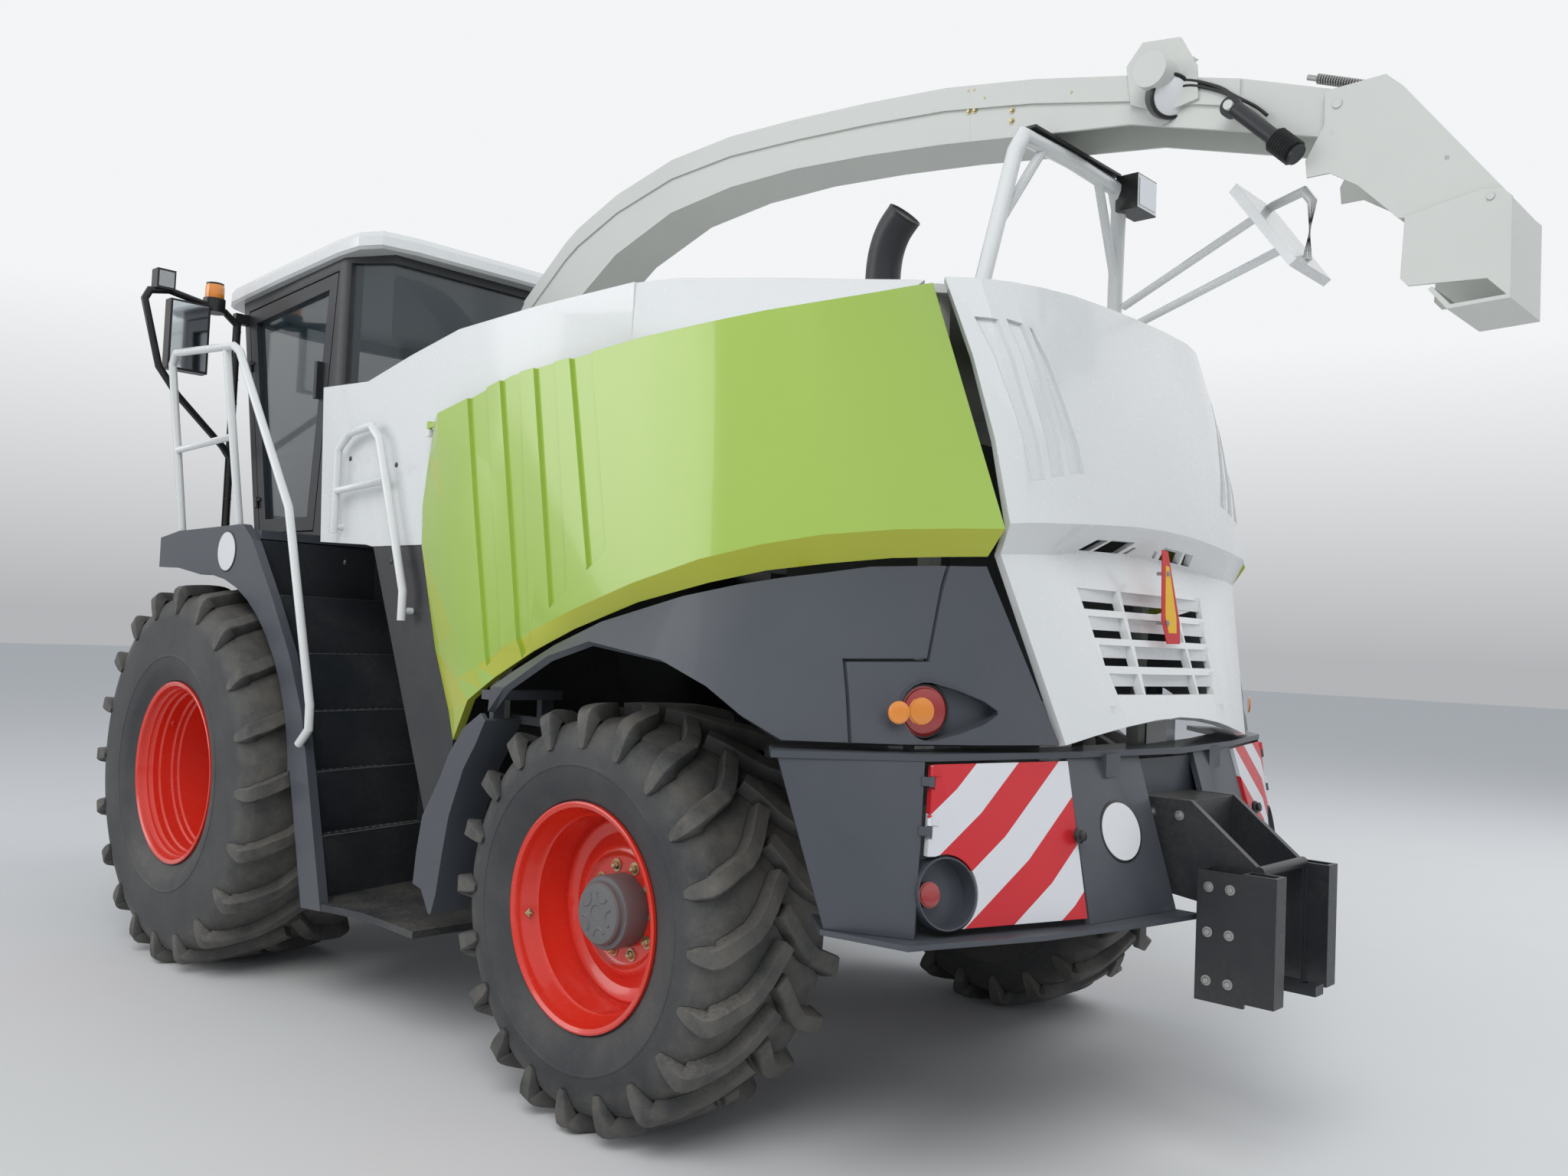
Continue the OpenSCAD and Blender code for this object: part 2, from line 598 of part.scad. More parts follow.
module steering_console() {
    color("black") in_frame() {
        side_plate([[-1120, floor_z], [-960, floor_z], [-900, floor_z + 780], [-960, floor_z + 800]],
                   -60, 60);
        translate([0, -915, floor_z + 815]) rotate([25, 0, 0]) difference() {
            cylinder(r = 200, h = 28);
            translate([0, 0, -1]) cylinder(r = 172, h = 30);
        }
        translate([0, -915, floor_z + 815]) rotate([25, 0, 0]) block([-175, -20, 0], [175, 20, 22]);
        translate([0, -915, floor_z + 815]) rotate([25, 0, 0]) translate([0, 0, -60])
            cylinder(r = 30, h = 70);
    }
}
// Mirror with its tube, the work lamp, the beacon arm and the round mirror
module mirror_set(side) {
    color("dimgray") in_frame() mirror([side > 0 ? 0 : 1, 0, 0]) {
        // Upright tube beside the front post, arm from the roof and the bow that carries the mirror
        bar([[910, -1180, 3360], [910, -1180, 2050]], 20, [1, 0, 0]);
        bar([[910, -1180, 3340], [1000, -1160, 3400], [1330, -1120, 3445], [1430, -1120, 3425],
             [1455, -1120, 3372],
             [1360, -1120, 3014], [1245, -1135, 2874], [960, -1175, 2625], [910, -1180, 2560]], 20,
                     [0, 1, 0]);
        block([cab_x + 0.3, -1205, 3350], [930, -1160, 3410]);
        block([cab_x + 0.3, -925, 2100], [930, -885, 2135]);
        block([892, -1180, 2104], [928, -900, 2131]);
        // Mirror housing
        block([1108, -1160, 3007], [1328, -1085, 3400]);
        // Beacon and lamp
        translate([1060, -1160, 3380]) cylinder(r = 60, h = 80);
        translate([1060, -1160, 3460]) cylinder(r = 48, h = 90);
        block([1310, -1160, 3440], [1410, -1080, 3550]);
    }
}
skirt_t = 40;
arch_r = 948;
// Skirt outline behind the arch: place behind the axle, height
skirt_outline = concat([[-560, 1885], [-560, 2035], [-340, 2064], [375, 2078], [480, 2005], [722, 1721],
                        [896, 1493],
    [1038, 1250], [1113, 1020], [1292, 452], [1126, 440], [960, 1000]],
    [for (w = [5:8:100]) [arch_r * cos(w), front_z + arch_r * sin(w)]], [[-330, 1880]]);
module platform(side) {
    color("dimgray") in_frame() mirror([side > 0 ? 0 : 1, 0, 0]) {
        side_plate(skirt_outline, skirt_x - skirt_t, skirt_x);
        block([cab_x + 8, -560, floor_z - 60], [skirt_x - skirt_t, 480, floor_z - 20]);
        for (y = [-500, 300]) block([cab_x - 60, y, floor_z - 140],
                                    [skirt_x - skirt_t, y + 60, floor_z - 60.3]);
        // Front edge of the platform
        block([cab_x + 60, -560, 1890], [skirt_x - skirt_t, -530, floor_z - 60]);
    }
}
stair_x = [1465, 880];
// Steps from the top: height, nosing at the outer end, foot of the riser behind it at the outer end,
// the same two at
// the inner end
steps = [[1750, 705, 480, 555, 470], [1495, 890, 690, 745, 722], [1250, 1035, 872, 905, 872],
         [1001, 1120, 1012, 975, 945],
         [741, 1200, 1095, 1050, 962]];
step_low = 481;
step_top = floor_z - 65;
function step_profile(x, nosing, foot) = concat([[x, steps[0][foot], step_top]],
    [for (s = steps) each [[x, s[foot], s[0]], [x, s[nosing], s[0]]]],
            [[x, steps[4][nosing] - 15, step_low - 14]]);
module stair() {
    color("dimgray") in_frame() {
        // Treads and risers, one folded sheet
        skin([step_profile(stair_x[0], 1, 2), step_profile(stair_x[1] - 5, 3, 4)], 10);
        // Inner wall
        side_plate([[470, step_top], [470, 1760], [735, 1500], [885, 1250], [962, 1000],
                    [962, step_low - 28],
                    [1930, step_low - 28], [1930, 800], [1790, 870], [1280, 1960], [1258, step_top]],
                            stair_x[1] - 10, stair_x[1]);
        // Lowest step, a chequered plate with a curved outer edge
        translate([0, 0, step_low - 28]) linear_extrude(28)
            polygon(plan([[870, 962], [1465, 1100], [1469, 1295], [1510, 1295], [1482, 1400],
                          [1458, 1530], [1458, 1700],
                          [1470, 1930], [870, 1930]]));
    }
}
tank_outline = [[1265, 1970], [1650, 1970], [1945, 1206], [1930, 960], [1773, 891]];
tank_x = 1345;
tank_z = 1970;
module fuel_tank() {
    color("dimgray") in_frame() {
        // Left tank behind the stair, box on the right
        side_plate(tank_outline, stair_x[1] + 0.3, tank_x);
        side_plate([[1290, 1970], [1650, 1970], [1930, 1206], [1930, 960], [1790, 900]],
                   rail_x + rail_w + 0.3, stair_x[1] + 0.3);
        block([-tank_x, 985, 900], [-rail_x - rail_w - 0.3, 1930, tank_z]);
        block([-tank_x, 985, 470], [-1260, 1930, 900]);
        block([-rail_x - rail_w - 0.3, 1290, rail_z + rail_h + 0.3], [rail_x + rail_w + 0.3, 1640, tank_z]);
    }
}
module handrails() {
    color("white") in_frame() both_sides() {
        bar([[1490, -350, 2066.9], [1572, -385, 2900], [1578, -330, 2950], [1590, 350, 2900],
             [1600, 440, 2860],
             [1550, 900, 2130], [1532, 1150, 1290], [1530, 1150, 1190], [1529.5, 1068, 1120]], 19,
                     [1, 0, 0]);
        bar([[1490, 290, 2078.9], [1583, 262, 2890]], 19, [1, 0, 0]);
        bar([[1530, -366, 2470], [1538, 275, 2490]], 17, [1, 0, 0]);
        bar([[1392, 1000, 2030], [1392, 1010, 2400], [1392, 1100, 2462], [1392, 1280, 2480],
             [1392, 1350, 2420],
             [1392, 1600, 1780], [1392, 1600, 1660]], 18, [1, 0, 0]);
        bar([[1392, 1005, 2215], [1392, 1430, 2240]], 16, [1, 0, 0]);
        translate([0, 1000, 2060]) rod_x(14, wall_x + 0.3, 1392);
        translate([0, aft(1600), 1700]) rod_x(14, tank_x + 0.3, 1392);
    }
}

// Skins between a front and a rear edge. A grid's rows run rearward, its columns downward
function row_way(g, i, j) = g[min(i + 1, len(g) - 1)][j] - g[max(i - 1, 0)][j];
function column_way(g, i, j) = g[i][min(j + 1, len(g[0]) - 1)] - g[i][max(j - 1, 0)];
function inside(g, t) = [for (i = [0:len(g)-1]) [for (j = [0:len(g[0])-1])
    g[i][j] + t * unit(cross(row_way(g, i, j), column_way(g, i, j)))]];
module skin(g, t) { shell(g, inside(g, t)); }

// White wall: outline behind the front axle and over the ground
wall_outline = [[761, 2704], [1156, 2690], [1500, 2764], [1848, 2827], [2353, 2846], [2912, 2849],
                [2912, 2500], [2353, 2450],
                [2000, 2350], [1848, 2015], [1655, 1970.3], [1262, 1970.3], [1214, 1979], [811, 1999]];
// Shoulder over the engine: lower edge and top edge
shoulder = [[[1340, 2908, 2849], [1352, 2908, 2592]], [[1290, 3085, 2849], [1394, 3090, 2612]],
            [[1090, 3400, 2846], [1378, 3388, 2625]], [[985, 3540, 2844], [1320, 3526, 2645]],
            [[920, 3640, 2842], [1220, 3658, 2680]], [[870, 3720, 2840], [1078, 3728, 2728]],
            [[840, 3765, 2838], [925, 3764, 2776]]];
// Hinge of the side panel: place, heights of its eyes
hinge_at = [1385, 1725];
panel_hinges = [2060, 2400];
module wall_panel(side) {
    color("white") in_frame() mirror([side > 0 ? 0 : 1, 0, 0]) {
        side_plate(wall_outline, wall_x - panel_t, wall_x);
        for (z = panel_hinges) difference() {
            block([wall_x - 10, hinge_at[1] - 11, z], [hinge_at[0], hinge_at[1] + 11, z + 30]);
            translate([hinge_at[0], aft(hinge_at[1]), z - 1]) cylinder(r = 11, h = 32);
        }
        for (z = panel_hinges) translate([hinge_at[0], aft(hinge_at[1]), z]) hinge_eye(11.5);
        skin(shoulder, 25);
    }
}
// Front edge and crease of the side panel, from the top down
panel_front = [[1405, 1800, 2470], [1405, 1762, 2300], [1405, 1737, 2122], [1405, 1745, 1958],
               [1405, 1882, 1555],
               [1405, 1996, 1324], [1405, 2036, 1215]];
panel_crease = [[1436, 1860, 2476], [1440, 1880, 2300], [1447, 1953, 2109], [1449, 1979, 1939],
                [1450, 2058, 1627],
                [1450, 2104, 1452], [1450, 2188, 1375]];
panel_turn = [[1438, 2090, 2520], [1443, 2110, 2320], [1449, 2140, 2120], [1452, 2165, 1940],
              [1454, 2205, 1700],
              [1454, 2240, 1500], [1448, 2269, 1423]];
// Stations behind them: top edge, crease and lower edge
panel_rows = [[[1438, 2330, 2575], [1455, 2350, 1560], [1443, 2345, 1468]],
              [[1440, 2560, 2590], [1458, 2580, 1645], [1437, 2560, 1570]],
              [[1441, 2780, 2600], [1460, 2800, 1720], [1430, 2780, 1655]],
              [[1440, 3080, 2620], [1460, 3100, 1810], [1420, 3090, 1750]],
              [[1425, 3400, 2632], [1450, 3400, 1885], [1400, 3400, 1816]],
              [[1365, 3560, 2655], [1400, 3610, 1930], [1345, 3590, 1856]],
              [[1250, 3700, 2690], [1300, 3770, 1965], [1250, 3740, 1882]],
              [[1100, 3775, 2738], [1150, 3930, 1990], [1110, 3885, 1908]],
              [[960, 3808, 2785], [1000, 4040, 2003], [975, 3990, 1920]],
              [[866, 3818, 2815], [866, 4126, 2012], [866, 4066, 1928]]];
function station(e) = concat([for (t = [0, 0.2, 0.4, 0.6, 0.8]) e[0] + (e[1] - e[0]) * t], [e[1], e[2]]);
panel_grid = concat([panel_front, panel_crease, panel_turn], [for (e = panel_rows) station(e)]);
// Pressed flutes: upper and lower end of the ridge in front of each, the last entry ends the last flute
flutes = [[2053, 2500, 2287, 1506], [2259, 2552, 2483, 1542], [2465, 2585, 2652, 1721],
          [2666, 2630, 2849, 1853],
          [2870, 2653, 3045, 1916]];
flute_depth = 13;
module flute_cuts() {
    for (i = [0:3]) let (a = flutes[i], b = flutes[i+1])
        side_plate([[a[0] + 14, 2900], [b[0] - 70, 2900], [b[0] - 70, b[1]],
                    [b[0] - 62 + (b[2] - b[0]) * 0.85, a[3] + 70],
                    [a[2] + 14, a[3]], [a[0] + 14, a[1]]], 1380, 1520);
}
module side_panel(side) {
    color("yellowgreen") in_frame() mirror([side > 0 ? 0 : 1, 0, 0]) {
        difference() {
            skin(panel_grid, panel_t - 8);
            flute_cuts();
        }
        intersection() {
            skin(inside(panel_grid, flute_depth), panel_t - 8 - flute_depth - 3);
            block([1380, 2000, 1400], [1520, 3060, 2700]);
        }
        for (z = panel_hinges) {
            translate([hinge_at[0], aft(hinge_at[1]), z]) hinge_pin(11.5);
            block([hinge_at[0] - 8, hinge_at[1], z + 34], [hinge_at[0] + 8, z > 2200 ? 1815 : 1760,
                    z + 56]);
        }
    }
}
// Fender and corner panel: top edge, lower edge
fender_rows = [[[1450, 2330, 1432], [1470, 2350, 1345]], [[1455, 2470, 1495], [1495, 2480, 1440]],
               [[1450, 2700, 1598], [1500, 2728, 1560]], [[1450, 2945, 1683], [1500, 2945, 1616]],
               [[1420, 3302, 1772], [1500, 3302, 1570]], [[1375, 3502, 1812], [1495, 3502, 1501]],
               [[1320, 3640, 1837], [1485, 3640, 1425]], [[1250, 3740, 1855], [1440, 3770, 1360]],
               [[1150, 3840, 1880], [1330, 3880, 1360]], [[1000, 3970, 1892], [1180, 4010, 1360]],
               [[900, 4045, 1896], [950, 4120, 1360]], [[868, 4065, 1898], [670, 4222, 1360]]];
// Mudguard lip: front and rear edge from the top down
mudguard_front = [[2336, 1338], [2230, 1277], [2143, 1173], [2093, 1081], [1987, 927], [1959, 792],
                  [1945, 668], [2003, 656],
                  [2062, 573]];
mudguard_rear = [[2366, 1313], [2310, 1220], [2243, 1129], [2164, 949], [2130, 794], [2104, 651],
                 [2077, 576]];
// Joint between fender and corner panel, as a line in X and Z on its way from the top down
panel_joint = [[955, 1930], [1068, 1606], [1262, 1596], [1300, 1340]];
joint_w = 9;
module joint_cut() {
    for (i = [0:2]) let (a = panel_joint[i], b = panel_joint[i+1], u = unit(b - a),
                         n = [u[1], -u[0]] * joint_w / 2,
            e = u * joint_w / 2)
        back_plate([a - e + n, b + e + n, b + e - n, a - e - n], 3700, 4200);
}
// Tail lamp's pod: place of the lamp's middle, turn of the face, teardrop from the lamp towards the middle
pod_at = [1094, 4030, 1455];
pod_turn = -25.6;
function teardrop(off) = concat([for (w = [80:20:280]) (86 + off) * [cos(w), sin(w)]],
    [[110, -62 - off * 0.8], [190, -34 - off * 0.8], [238 + off, -6], [238 + off, 6],
     [190, 34 + off * 0.8], [110, 62 + off * 0.8]]);
module pod_place() { translate(placed(pod_at)) rotate([0, 0, pod_turn]) rotate([90, 0, 180]) children(); }
module rear_fender(side) {
    n = len(mudguard_rear);
    rear = [for (i = [n-1:-1:0]) mudguard_rear[i]];
    color("dimgray") in_frame() mirror([side > 0 ? 0 : 1, 0, 0]) {
        difference() {
            skin(fender_rows, 25);
            joint_cut();
            pod_place() translate([0, 0, -60]) linear_extrude(110) polygon(teardrop(0));
        }
        // Pod
        pod_place() difference() {
            translate([0, 0, -62]) linear_extrude(52) polygon(teardrop(7));
            translate([0, 0, -54]) linear_extrude(60) polygon(teardrop(0));
        }
        side_plate(concat(mudguard_front, rear), 1472, 1490);
        // Sheet inward of the lip
        side_plate(concat([for (i = [0:n-1]) mudguard_rear[i] + [-14, 6]], rear), 1330, 1473);
        // Brackets to the frame
        block([1140, 2060, rail_z + rail_h + 0.3], [1195, 2300, rail_z + rail_h + 34]);
        block([1140, 2270, rail_z + rail_h + 0.3], [1195, 2300, 1420]);
        block([1140, 2270, 1385], [1445, 2352, 1420]);
        block([1400, 2325, 1295], [1445, 2350, 1420]);
        block([820, 3720, rail_z + rail_h + 0.3], [880, 3780, 1600]);
        block([820, 3720, 1540], [880, 4106, 1600]);
    }
}
// Hood: top rim, crease, lip under it and lower edge, from the left edge to the middle
hood_half = [[[846, 3850, 2834], [846, 4130, 2030], [832, 4090, 1938], [656, 4235, 1360]],
             [[770, 3935, 2834], [775, 4155, 2038], [750, 4112, 1944], [590, 4244, 1372]],
             [[672, 3994, 2834], [680, 4172, 2045], [655, 4120, 1950], [520, 4252, 1385]],
             [[560, 4037, 2834], [565, 4185, 2053], [545, 4110, 1958], [430, 4264, 1400]],
             [[419, 4070, 2834], [430, 4197, 2062], [425, 4097, 1974], [330, 4276, 1415]],
             [[210, 4089, 2833], [215, 4208, 2075], [212, 4108, 1987], [170, 4286, 1432]],
             [[0, 4095, 2832], [0, 4212, 2080], [0, 4112, 1992], [0, 4290, 1440]]];
function flip(row) = [for (p = row) [-p[0], p[1], p[2]]];
hood_edges = concat(hood_half, [for (i = [len(hood_half)-2:-1:0]) flip(hood_half[i])]);
function hood_row(e) = [e[0], e[0] + (e[1] - e[0]) * 0.33 + [0, 26, 0],
                        e[0] + (e[1] - e[0]) * 0.67 + [0, 26, 0], e[1], e[2], e[3]];
hood_grid = [for (e = hood_edges) hood_row(e)];
hood_t = 30;
slot_depth = 14;
// Louvres: height of the top, height of the slit, half width at both
louvres = [[1857, 1804, 454, 441], [1767, 1711, 427, 420], [1674, 1621, 401, 398], [1582, 1529, 383, 361]];
louvre_rib = 200;
// Place of the hood's lower face at a height, in the middle
function hood_low_y(z) = 4112 + (1992 - z) * 0.3225;
// Side slots and openings under the lip, in X and Z
side_slots = [[[808, 2700], [752, 2695], [690, 2181], [748, 2172]],
              [[722, 2702], [676, 2692], [599, 2203], [660, 2192]],
              [[652, 2684], [640, 2676], [499, 2222], [573, 2210]]];
lip_openings = [[[405, 1984], [352, 2022], [282, 2024], [335, 1986]],
                [[312, 1987], [262, 2026], [110, 2032], [150, 1992]],
                [[118, 1994], [92, 2016], [66, 2017], [92, 1995]]];
module louvre_vane(l) {
    top = hood_low_y(l[0]);
    slit = hood_low_y(l[1]);
    side_plate([[top - 24, l[0] + 12], [top - 36, l[0] + 12], [slit - 52, l[1] + 12],
                [slit - 40, l[1] + 12]], -l[2] - 6, l[2] + 6);
}
module rear_hood() {
    color("white") in_frame() {
        difference() {
            skin(hood_grid, hood_t);
            both_sides() for (outline = concat(side_slots, lip_openings)) back_plate(outline, 3700, 4400);
            for (l = louvres) {
                both_sides() back_plate([[l[2], l[0]], [louvre_rib + 12, l[0]],
                                         [louvre_rib + 6, l[1] - 14], [l[3], l[1] - 14]], 3900, 4500);
                back_plate([[louvre_rib - 12, l[0]], [-louvre_rib + 12, l[0]], [-louvre_rib + 6, l[1] - 14],
                            [louvre_rib - 6, l[1] - 14]], 3900, 4500);
            }
        }
        // Floor of the side slots
        intersection() {
            skin(inside(hood_grid, slot_depth), hood_t - slot_depth - 3);
            both_sides() back_plate([[830, 2720], [620, 2720], [480, 2160], [765, 2150]], 3700, 4300);
        }
        for (l = louvres) louvre_vane(l);
        // Brackets to the rails
        both_sides() {
            block([340, 3990, rail_z + rail_h + 0.3], [410, 4070, 1480]);
            block([340, 3990, 1440], [410, 4255, 1480]);
        }
    }
}
module top_deck() {
    color("lightgray") in_frame() {
        translate([0, 0, deck_z - 36]) linear_extrude(30)
            polygon(plan([[wall_x - panel_t - 0.3, 1855], [wall_x - panel_t - 0.3, 2900], [1240, 3075],
                          [930, 3530], [800, 3780],
                     [640, 3950], [400, 4030], [0, 4050], [-400, 4030], [-640, 3950], [-800, 3780],
                             [-930, 3530],
                     [-1240, 3075], [-wall_x + panel_t + 0.3, 2900], [-wall_x + panel_t + 0.3, 1855]]));
        // Ramp and the floor in front of it
        side_plate([[960, 2650], [1860, deck_z - 36], [1860, deck_z - 6], [960, 2680]],
                   -wall_x + panel_t + 0.3, wall_x - panel_t - 0.3);
        both_sides() block([400, 775, 2650], [wall_x - panel_t - 0.3, 962, 2680]);
        // Posts: place across, place along, foot
        for (p = [[1200, 1300, tank_z + 0.3, 2712], [1200, 2050, rail_z + rail_h + 0.3, deck_z - 30],
                  [700, 3715, rail_z + rail_h + 0.3, deck_z - 30]])
            both_sides() block([p[0], p[1], p[2]], [p[0] + 55, p[1] + 55, p[3]]);
    }
}

// Rear bumper: top edge and lower edge in plan
bumper_top = [[1512, 3797], [1150, 4083], [593, 4209], [0, 4290]];
bumper_low = [[1357, 3873], [1314, 4156], [880, 4320], [457, 4417], [190, 4462], [0, 4480]];
bumper_z = [828, 1336];
door_edge = [[[1140, 4090, 1308], [1222, 4137, 850]], [[603, 4212, 1308], [660, 4330, 850]]];
module flange(edge, z, t, width) {
    n = len(edge);
    out = concat(edge, [for (i = [n-2:-1:0]) [-edge[i][0], edge[i][1]]]);
    m = len(out);
    translate([0, 0, z - t]) linear_extrude(t)
        polygon(concat(out, [for (i = [m-1:-1:0]) [out[i][0] * (1 - width / 1500), out[i][1] - width]]));
}
door_line_low = door_edge[0][1];
door_line_high = door_edge[0][0];
lid_hinges = [0.56, 0.86];
// Cup of the lower lamp: place of its middle on the lid's face, turn of the face
cup_at = [1135, 4149, 948];
cup_turn = -17.7;
cup_r = 98;
module cup_place() { translate(placed(cup_at)) rotate([0, 0, cup_turn]) rotate([80, 0, 180]) children(); }
module bumper() {
    color("dimgray") in_frame() difference() {
        union() {
            flange(bumper_top, bumper_z[1], 20, 140);
            flange(bumper_low, bumper_z[0], 16, 160);
            both_sides() {
                difference() {
                    skin([[[1490, 3805, 1316], [1350, 3880, 829]],
                          [[1158, 4074, 1316], [1246, 4124, 829]]], 20);
                    cup_place() translate([0, 0, -80]) cylinder(r = cup_r, h = 160);
                }
                cup_place() difference() {
                    translate([0, 0, -62]) cylinder(r = cup_r + 5, h = 68);
                    translate([0, 0, -56]) cylinder(r = cup_r, h = 70);
                }
                cup_place() translate([-46, 0, -58]) cylinder(r = 36, h = 34);
                skin([[[590, 4200, 1316], [640, 4330, 829]], [[200, 4240, 1316], [200, 4390, 829]]], 20);
                for (s = lid_hinges) on_line(door_line_low, door_line_high, s) {
                    hinge_eye(8);
                    rotate([0, 0, 113]) translate([6, -4, 2]) cube([26, 8, 26]);
                }
            }
            // Beam behind the rails
            block([-rail_x - rail_w, 4150, 900], [rail_x + rail_w, 4230, 1300]);
            both_sides() block([rail_x, 4200, 1250], [rail_x + rail_w, 4245, 1325]);
            // Round speed plate
            translate([400, aft(4275), 1080]) rotate([-75, 0, -10]) cylinder(r = 100, h = 8);
        }
        block([-180, 4236, 800], [180, 4600, 840]);
        both_sides() for (s = lid_hinges) on_line(door_line_low, door_line_high, s)
            cylinder(r = 4.05, h = 30);
    }
}
module bumper_door(side) {
    color("crimson") in_frame() mirror([side > 0 ? 0 : 1, 0, 0]) {
        difference() {
            skin(door_edge, 20);
            // Opening for the lamp's cup, notches for the hinge eyes
            cup_place() translate([0, 0, -120]) cylinder(r = cup_r + 12, h = 240);
            back_plate([[1155, 1052], [1300, 1056], [1300, 800], [1110, 800]], 4000, 4400);
            for (s = lid_hinges) on_line(door_line_low, door_line_high, s - 0.01) cylinder(r = 11, h = 37);
        }
        for (s = lid_hinges) on_line(door_line_low, door_line_high, s) {
            hinge_pin(8);
            rotate([0, 0, -46]) translate([3, -4, 34]) cube([26, 8, 24]);
        }
    }
}
// Hitch: the drawbar hangs between two upright guides
tongue_z = 604;
tongue_t = 32;
pin_y = 4726;
pin_hole_r = 16;
guide_x = [176, 250];
module drawbar_hitch() {
    color("dimgray") in_frame() {
        block([-150, 4230.3, 1005], [150, 4417, 1180]);
        both_sides() {
            side_plate([[4236, 890], [4236, 1180], [4417, 1182], [4660, 985], [4660, 590], [4482, 575],
                        [4482, 860]], 150, 176);
            // Guide: outer plate, front flange and square tube
            block([guide_x[1] - 14, 4482, 575], [guide_x[1], 4640, 980]);
            block([170, 4482, 575], [guide_x[1], 4496, 980]);
            difference() {
                block([guide_x[0], 4625, 590], [guide_x[1], 4735, 985]);
                block([guide_x[0] + 12, 4637, 580], [guide_x[1] - 12, 4723, 1000]);
            }
        }
        translate([0, aft(4648), 985]) rod_x(18, -guide_x[0], guide_x[0]);
        // Drawbar and the crosspiece that holds it
        difference() {
            union() {
                block([-32, 4480, tongue_z], [32, 4778, tongue_z + tongue_t]);
                block([-guide_x[0] + 26.3, 4500, tongue_z], [guide_x[0] - 26.3, 4560, tongue_z + tongue_t]);
            }
            translate([0, aft(pin_y), tongue_z - 1]) cylinder(r = pin_hole_r, h = tongue_t + 2);
        }
    }
}
module exhaust_pipe() {
    way = [[350, 3190, deck_z - 5.7], [350, 3190, 3080], [350, 3205, 3170], [350, 3245, 3240],
           [350, 3300, 3290]];
    color("silver") in_frame() {
        difference() {
            bar(way, 72, [1, 0, 0], 24);
            bar([way[2], way[3], [350, 3320, 3308]], 66, [1, 0, 0], 24);
        }
        translate([350, aft(3190), deck_z - 5.7]) cylinder(r = 105, h = 12);
    }
}
module light_frame() {
    color("white") in_frame() {
        for (x = [1, -1]) {
            bar([[x*478, 3721, deck_z + 6], [x*372, 3785, 3400], [x*330, 3790, 3470],
                 [x*0, 3790, 3480]], 30, [0, 1, 0]);
            bar([[x*430, 3750, 3110], [x*200, 3790, 3460]], 18, [0, 1, 0]);
            block([x > 0 ? 430 : -530, 3670, deck_z - 5.7], [x > 0 ? 530 : -430, 3770, deck_z + 10]);
        }
        // Work lamp
        block([-480, 3800, 3380], [-330, 3890, 3510]);
    }
}
// Mirror behind the hood and the two arms that hold it
module rear_mirror() {
    color("white") in_frame() {
        bar([[-452, 3779.5, 3030], [-150, 4500, 3210], [-110, 4620, 3225], [-100, 4652, 3180],
             [-100, 4640, 2985]], 16, [0, 0, 1]);
        bar([[-470, 3768, 2935], [-100, 4575, 3045]], 16, [0, 0, 1]);
        side_plate([[4430, 3215], [4455, 3240], [4665, 2950], [4640, 2930]], -250, 50);
    }
}

chassis_frame();
cross_members();
front_axle();
rear_axle();
knuckle(1);  // knuckle_left
knuckle(-1);  // knuckle_right
front_rim(1);  // front_rim_left
front_rim(-1);  // front_rim_right
rear_rim(1);  // rear_rim_left
rear_rim(-1);  // rear_rim_right
front_tyre(1);  // front_tyre_left
front_tyre(-1);  // front_tyre_right
rear_tyre(1);  // rear_tyre_left
rear_tyre(-1);  // rear_tyre_right
engine_block();
intake_housing();
feed_roll(roll_z[1]);  // feed_roll_upper
feed_roll(roll_z[0]);  // feed_roll_lower
crop_channel();
chute_base();
chute_turntable();
chute_boom();
chute_extension();
chute_end();
chute_flap();
chute_cylinder();
cab_bearers();
cab_floor();
cab_body();
cab_roof();
cab_glass();
cab_door();
door_glass();
driver_seat();
steering_console();
mirror_set(1);  // mirror_left
mirror_set(-1);  // mirror_right
platform(1);  // platform_left
platform(-1);  // platform_right
stair();
fuel_tank();
handrails();
wall_panel(1);  // wall_panel_left
wall_panel(-1);  // wall_panel_right
side_panel(1);  // side_panel_left
side_panel(-1);  // side_panel_right
rear_fender(1);  // rear_fender_left
rear_fender(-1);  // rear_fender_right
rear_hood();
top_deck();
bumper();
bumper_door(1);  // bumper_door_left
bumper_door(-1);  // bumper_door_right
drawbar_hitch();
exhaust_pipe();
light_frame();
rear_mirror();
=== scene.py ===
# %% [markdown]
# # A forage harvester, dressed in Blender
# The machine's solids come ready from a CAD program. This lesson gives them paint, rubber, glass and
# small fittings, and puts them in a plain studio. Lengths are metres, +X is the machine's left side,
# -Y its front and +Z up.

# %% Load the solids
import math
import bpy
from mathutils import Matrix, Vector


